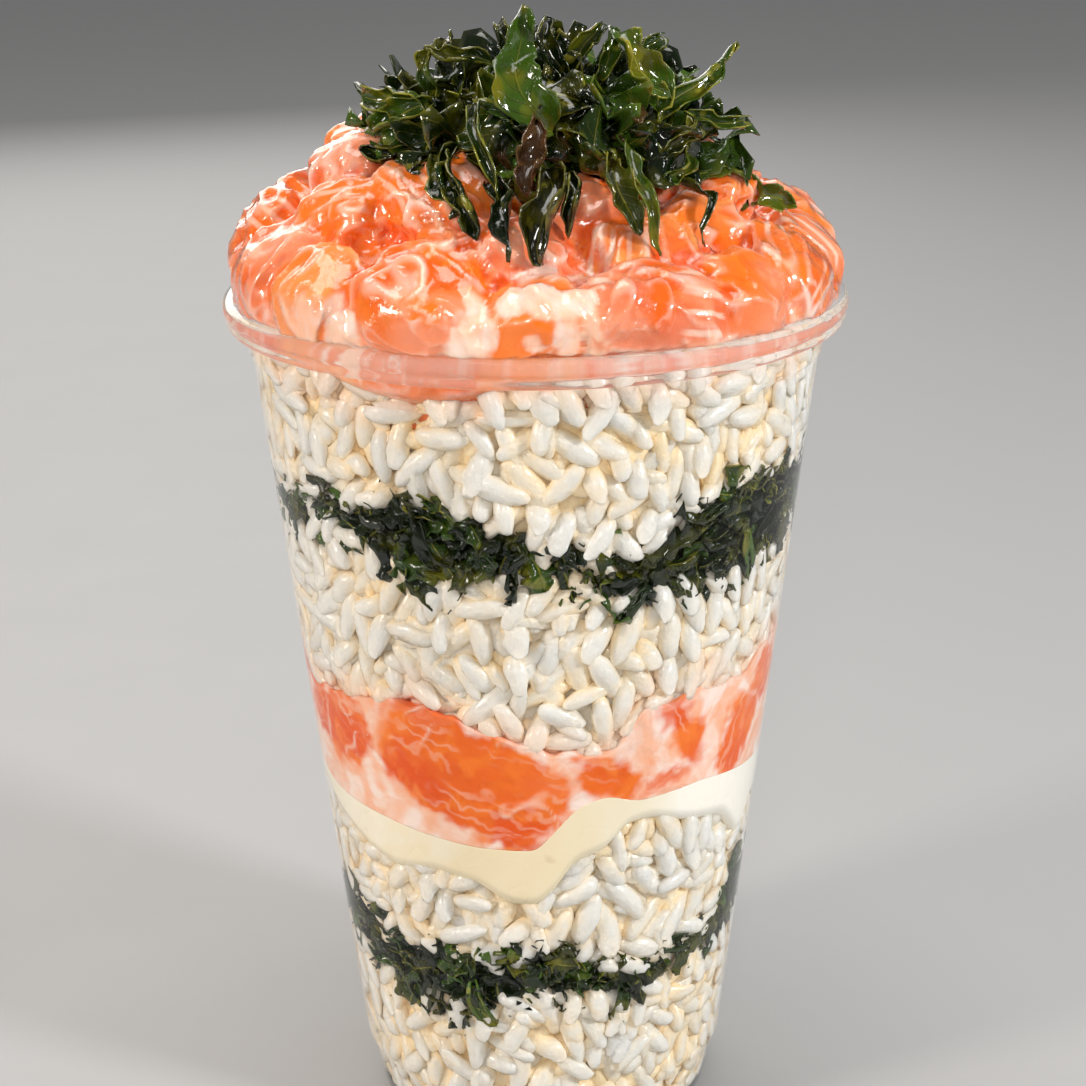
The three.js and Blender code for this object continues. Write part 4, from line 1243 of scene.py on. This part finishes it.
def build_stage(settings):
    scene = bpy.context.scene
    scene.view_settings.view_transform = "Standard"
    bm = bmesh.new()
    bmesh.ops.create_circle(bm, cap_ends=True, segments=96, radius=settings.floor_radius)
    floor = bpy.data.objects.new("floor", mesh_from(bm, "floor"))
    scene.collection.objects.link(floor)
    floor.data.materials.append(floor_material(settings))

    world = bpy.data.worlds.new("studio")
    world.use_nodes = True
    recipe = Recipe(world.node_tree)
    mirrored = recipe.node("ShaderNodeLightPath").outputs["Is Glossy Ray"]
    strength = recipe.ramp(mirrored, 0.0, 1.0, settings.ambient, settings.ambient * settings.mirrored)
    sky = {"Color": (*settings.floor, 1), "Strength": strength}
    recipe.feed(world.node_tree.nodes["Background"], sky)
    scene.world = world

    # Lamps: name, place and size in metres, share of the setting's power, and colour.
    aim = Vector((0, 0, 0.09))
    lights = (
        ("key", (0.85, -0.45, 0.5), 0.15, 1.15, (0.98, 0.99, 1.0)),
        ("fill", (-0.9, -0.45, 0.45), 0.18, 0.9, (1.0, 0.9, 0.8)),
        ("front", (-0.1, -1.0, 0.55), 0.14, 0.35, (1.0, 0.97, 0.93)),
        ("top", (-0.05, 0.1, 1.0), 0.5, 0.55, (1.0, 0.98, 0.95)),
        ("back", (-0.3, 0.9, 0.55), 0.7, 0.6, (1.0, 0.96, 0.92)),
    )
    for name, spot, size, share, warmth in lights:
        lamp = bpy.data.lights.new(name, "AREA")
        lamp.size = size
        lamp.color = warmth
        lamp.energy = settings.light * share
        light = bpy.data.objects.new(name, lamp)
        light.location = spot
        light.rotation_euler = (aim - Vector(spot)).to_track_quat("-Z", "Y").to_euler()
        scene.collection.objects.link(light)

    camera = bpy.data.cameras.new("camera")
    camera.sensor_width = 36.0
    camera.lens = settings.lens
    camera.shift_x = settings.shift
    eye = bpy.data.objects.new("camera", camera)
    eye.location = (0, -settings.distance, settings.eye_height)
    look = Matrix.Rotation(math.pi / 2 - settings.pitch, 4, "X") @ Matrix.Rotation(settings.roll, 4, "Z")
    eye.rotation_euler = look.to_euler()
    scene.collection.objects.link(eye)
    scene.camera = eye


# ---- Settings ----


def size(name, text, default):
    return number(name, text, default, unit="LENGTH", min=0, precision=5)


def colour(name, text, default):
    return bpy.props.FloatVectorProperty(
        name=name, description=text, default=default, subtype="COLOR", size=3, min=0, max=1
    )


def number(name, text, default, **limits):
    return bpy.props.FloatProperty(name=name, description=text, default=default, **limits)


def count(name, text, default):
    return bpy.props.IntProperty(name=name, description=text, default=default, min=1)


class SushiCupSettings(bpy.types.PropertyGroup):
    facets: count("Facets", "Facets round the cup's shell", 192)
    tint: colour("Plastic tint", "Colour of the clear plastic", (0.985, 0.99, 0.995))
    mirror: number("Mirror", "How strongly the wall mirrors what stands in front of it", 0.02)
    passed: colour("Passed light", "Tint of light that passes straight through", (0.97, 0.975, 0.98))
    milky: number("Milky rim", "How milky the thick rim is", 0.14)
    wall_ior: number("Wall bending", "Index of refraction of the thin wall", 1.25)
    rim_ior: number("Rim bending", "Index of refraction of the rim", 1.5)


class SushiRiceSettings(bpy.types.PropertyGroup):
    seed: count("Seed", "Start of the random draws", 7)
    grain_length: size("Grain length", "Length of a cooked grain", 8.5 * MM)
    grain_width: size("Grain width", "Width of a cooked grain", 3.8 * MM)
    voxel: size("Mesh size", "Edge of the faces of the mass behind the grains", 0.65 * MM)
    unevenness: size("Unevenness", "How far the clumps of rice stand back from the wall", 1.6 * MM)
    light: colour("Lit grain", "Colour of the grains at the wall", (0.84, 0.795, 0.71))
    # The colour of the painted shade in the rice's depths and creases.
    shaded_grain: colour("Deep grain", "Colour between the grains", (0.96, 0.74, 0.43))
    clear: colour("Clear grain", "Colour of glassy grains", (0.79, 0.78, 0.735))
    stain: colour("Stained grain", "Colour of the grains next to the salmon", (0.95, 0.66, 0.46))


class SushiGreensSettings(bpy.types.PropertyGroup):
    seed: count("Seed", "Start of the random draws", 3)
    shred_length: size("Shred length", "Length of a shred in the layers", 8.0 * MM)
    shred_width: size("Shred width", "Width of a shred in the layers", 6.2 * MM)
    shred_spacing: size("Shred spacing", "Least distance between shreds in the layers", 2.5 * MM)
    leaves: count("Crown leaves", "Leaves in the crown, besides those placed by hand", 200)
    leaf_length: size("Leaf length", "Length of a leaf in the crown", 13.0 * MM)
    leaf_width: size("Leaf width", "Width of a leaf in the crown", 8.0 * MM)
    blade: size("Blade thickness", "Thickness of a leaf", 0.22 * MM)
    dark: colour("Dark blade", "Colour of a dark leaf", (0.003, 0.008, 0.001))
    bright: colour("Bright blade", "Colour of a bright leaf", (0.06, 0.13, 0.008))
    # The colour of the painted light that shines through a leaf.
    olive: colour("Olive blade", "Colour of the lit olive places of a leaf", (0.14, 0.135, 0.006))
    # Also the colour of the painted glints.
    rib_and_glint: colour("Rib", "Colour of ribs and edges", (0.42, 0.38, 0.04))
    toast: colour("Toasted", "Colour of toasted places", (0.12, 0.05, 0.02))


class SushiSalmonSettings(bpy.types.PropertyGroup):
    seed: count("Seed", "Start of the random draws", 5)
    voxel: size("Mesh size", "Edge of the faces of the heap", 0.6 * MM)
    swell: size("Swell", "How far the dice swell towards each other", 0.7 * MM)
    web: size("Webs", "How far cream bridges the clefts between dice", 1.3 * MM)
    lump: size("Lumps", "Height of the lumps on the flesh", 0.9 * MM)
    fold: size("Folds", "Height of the cream's folds on the flesh", 0.55 * MM)
    crumbs: count("Small pieces", "Small pieces of flesh between the dice", 60)
    fat_scale: number("Fat lines", "Scale of the fat lines", 120.0)
    orange: colour("Orange flesh", "Colour of deep flesh", (0.92, 0.19, 0.015))
    coral: colour("Coral flesh", "Colour of pink flesh", (0.90, 0.27, 0.13))
    apricot: colour("Apricot flesh", "Colour of yellowish flesh", (0.96, 0.38, 0.11))
    # Deepest flesh: dark patches at random, and painted shade where the flesh is sunk.
    deep_and_shaded_flesh: colour("Deep flesh", "Colour of the darkest flesh", (0.80, 0.09, 0.004))
    fat: colour("Fat", "Colour of the fat lines", (0.97, 0.76, 0.60))
    blush: colour("Blush", "Cream stained by the salmon", (0.97, 0.58, 0.40))
    cream: colour("Cream", "Colour of the cream", (0.90, 0.76, 0.50))
    cream_pale: colour("Pale cream", "Colour of the paler cream", (0.97, 0.92, 0.80))
    # The colour of the pits' painted shade.
    pit: colour("Pit", "Colour of the small pits in the cream", (0.62, 0.42, 0.2))
    milk: colour("Milk", "Colour of the film of cream over the salmon", (0.96, 0.76, 0.66))


class SushiStageSettings(bpy.types.PropertyGroup):
    floor: colour("Floor", "Colour of the floor and the backdrop", (0.44, 0.44, 0.44))
    floor_radius: size("Floor radius", "Radius of the floor", 6.0)
    ambient: number("Ambient", "Strength of the light from all round", 0.8)
    mirrored: number("Mirrored", "Share of that light that wet surfaces mirror", 0.35)
    light: number("Light", "Power in watts of a lamp whose share is 1", 6.3)
    lens: number("Lens", "Focal length in millimetres", 71.07)
    shift: number("Shift", "Sideways shift of the camera", 0.0046)
    distance: size("Distance", "Distance of the camera from the cup's axis", 0.3319)
    eye_height: size("Eye height", "Height of the camera", 0.2138)
    pitch: number("Pitch", "How far the camera looks down", math.radians(19.42), subtype="ANGLE")
    roll: number("Roll", "How far the camera leans", math.radians(-0.6), subtype="ANGLE")


class SushiSettings(bpy.types.PropertyGroup):
    cup: bpy.props.PointerProperty(type=SushiCupSettings)
    rice: bpy.props.PointerProperty(type=SushiRiceSettings)
    greens: bpy.props.PointerProperty(type=SushiGreensSettings)
    salmon: bpy.props.PointerProperty(type=SushiSalmonSettings)
    stage: bpy.props.PointerProperty(type=SushiStageSettings)


# ---- Operators and panel ----


class SUSHI_OT_cup(bpy.types.Operator):
    """Makes the clear cup"""

    bl_idname = "sushi.cup"
    bl_label = "Cup"

    def execute(self, context):
        build_cup(context.scene.sushi.cup)
        return {"FINISHED"}


class SUSHI_OT_rice(bpy.types.Operator):
    """Makes the four layers of rice"""

    bl_idname = "sushi.rice"
    bl_label = "Rice"

    def execute(self, context):
        build_rice(context.scene.sushi.rice)
        return {"FINISHED"}


class SUSHI_OT_greens(bpy.types.Operator):
    """Makes the two layers of greens"""

    bl_idname = "sushi.greens"
    bl_label = "Greens"

    def execute(self, context):
        build_greens(context.scene.sushi.greens)
        return {"FINISHED"}


class SUSHI_OT_cream(bpy.types.Operator):
    """Makes the band of cream sauce"""

    bl_idname = "sushi.cream"
    bl_label = "Cream"

    def execute(self, context):
        build_cream(context.scene.sushi.salmon)
        return {"FINISHED"}


class SUSHI_OT_salmon(bpy.types.Operator):
    """Makes the salmon at the wall and the heap over the rim"""

    bl_idname = "sushi.salmon"
    bl_label = "Salmon"

    def execute(self, context):
        build_salmon(context.scene.sushi.salmon)
        return {"FINISHED"}


class SUSHI_OT_crown(bpy.types.Operator):
    """Makes the crown of leaves"""

    bl_idname = "sushi.crown"
    bl_label = "Crown"

    def execute(self, context):
        build_crown(context.scene.sushi.greens)
        return {"FINISHED"}


class SUSHI_OT_stage(bpy.types.Operator):
    """Makes the floor, the lights and the camera"""

    bl_idname = "sushi.stage"
    bl_label = "Stage"

    def execute(self, context):
        build_stage(context.scene.sushi.stage)
        return {"FINISHED"}


OPERATORS = (
    SUSHI_OT_stage, SUSHI_OT_cup, SUSHI_OT_rice, SUSHI_OT_greens, SUSHI_OT_cream, SUSHI_OT_salmon,
    SUSHI_OT_crown,
)


class SUSHI_PT_panel(bpy.types.Panel):
    """Lists the pieces of the sushi cup"""

    bl_idname = "SUSHI_PT_panel"
    bl_label = "Sushi cup"
    bl_space_type = "VIEW_3D"
    bl_region_type = "UI"
    bl_category = "Sushi cup"

    def draw(self, context):
        for operator in OPERATORS:
            self.layout.operator(operator.bl_idname)
        for key in SushiSettings.__annotations__:
            part = getattr(context.scene.sushi, key)
            box = self.layout.box()
            for name in part.__annotations__:
                box.prop(part, name)


CLASSES = (
    SushiCupSettings, SushiRiceSettings, SushiGreensSettings, SushiSalmonSettings, SushiStageSettings,
    SushiSettings, *OPERATORS, SUSHI_PT_panel,
)


def register():
    for cls in CLASSES:
        bpy.utils.register_class(cls)
    bpy.types.Scene.sushi = bpy.props.PointerProperty(type=SushiSettings)


def unregister():
    del bpy.types.Scene.sushi
    for cls in reversed(CLASSES):
        bpy.utils.unregister_class(cls)


def main():
    register()
    bpy.ops.sushi.stage()
    bpy.ops.sushi.cup()
    bpy.ops.sushi.rice()
    bpy.ops.sushi.greens()
    bpy.ops.sushi.cream()
    bpy.ops.sushi.salmon()
    bpy.ops.sushi.crown()


if __name__ == "__main__":
    main()
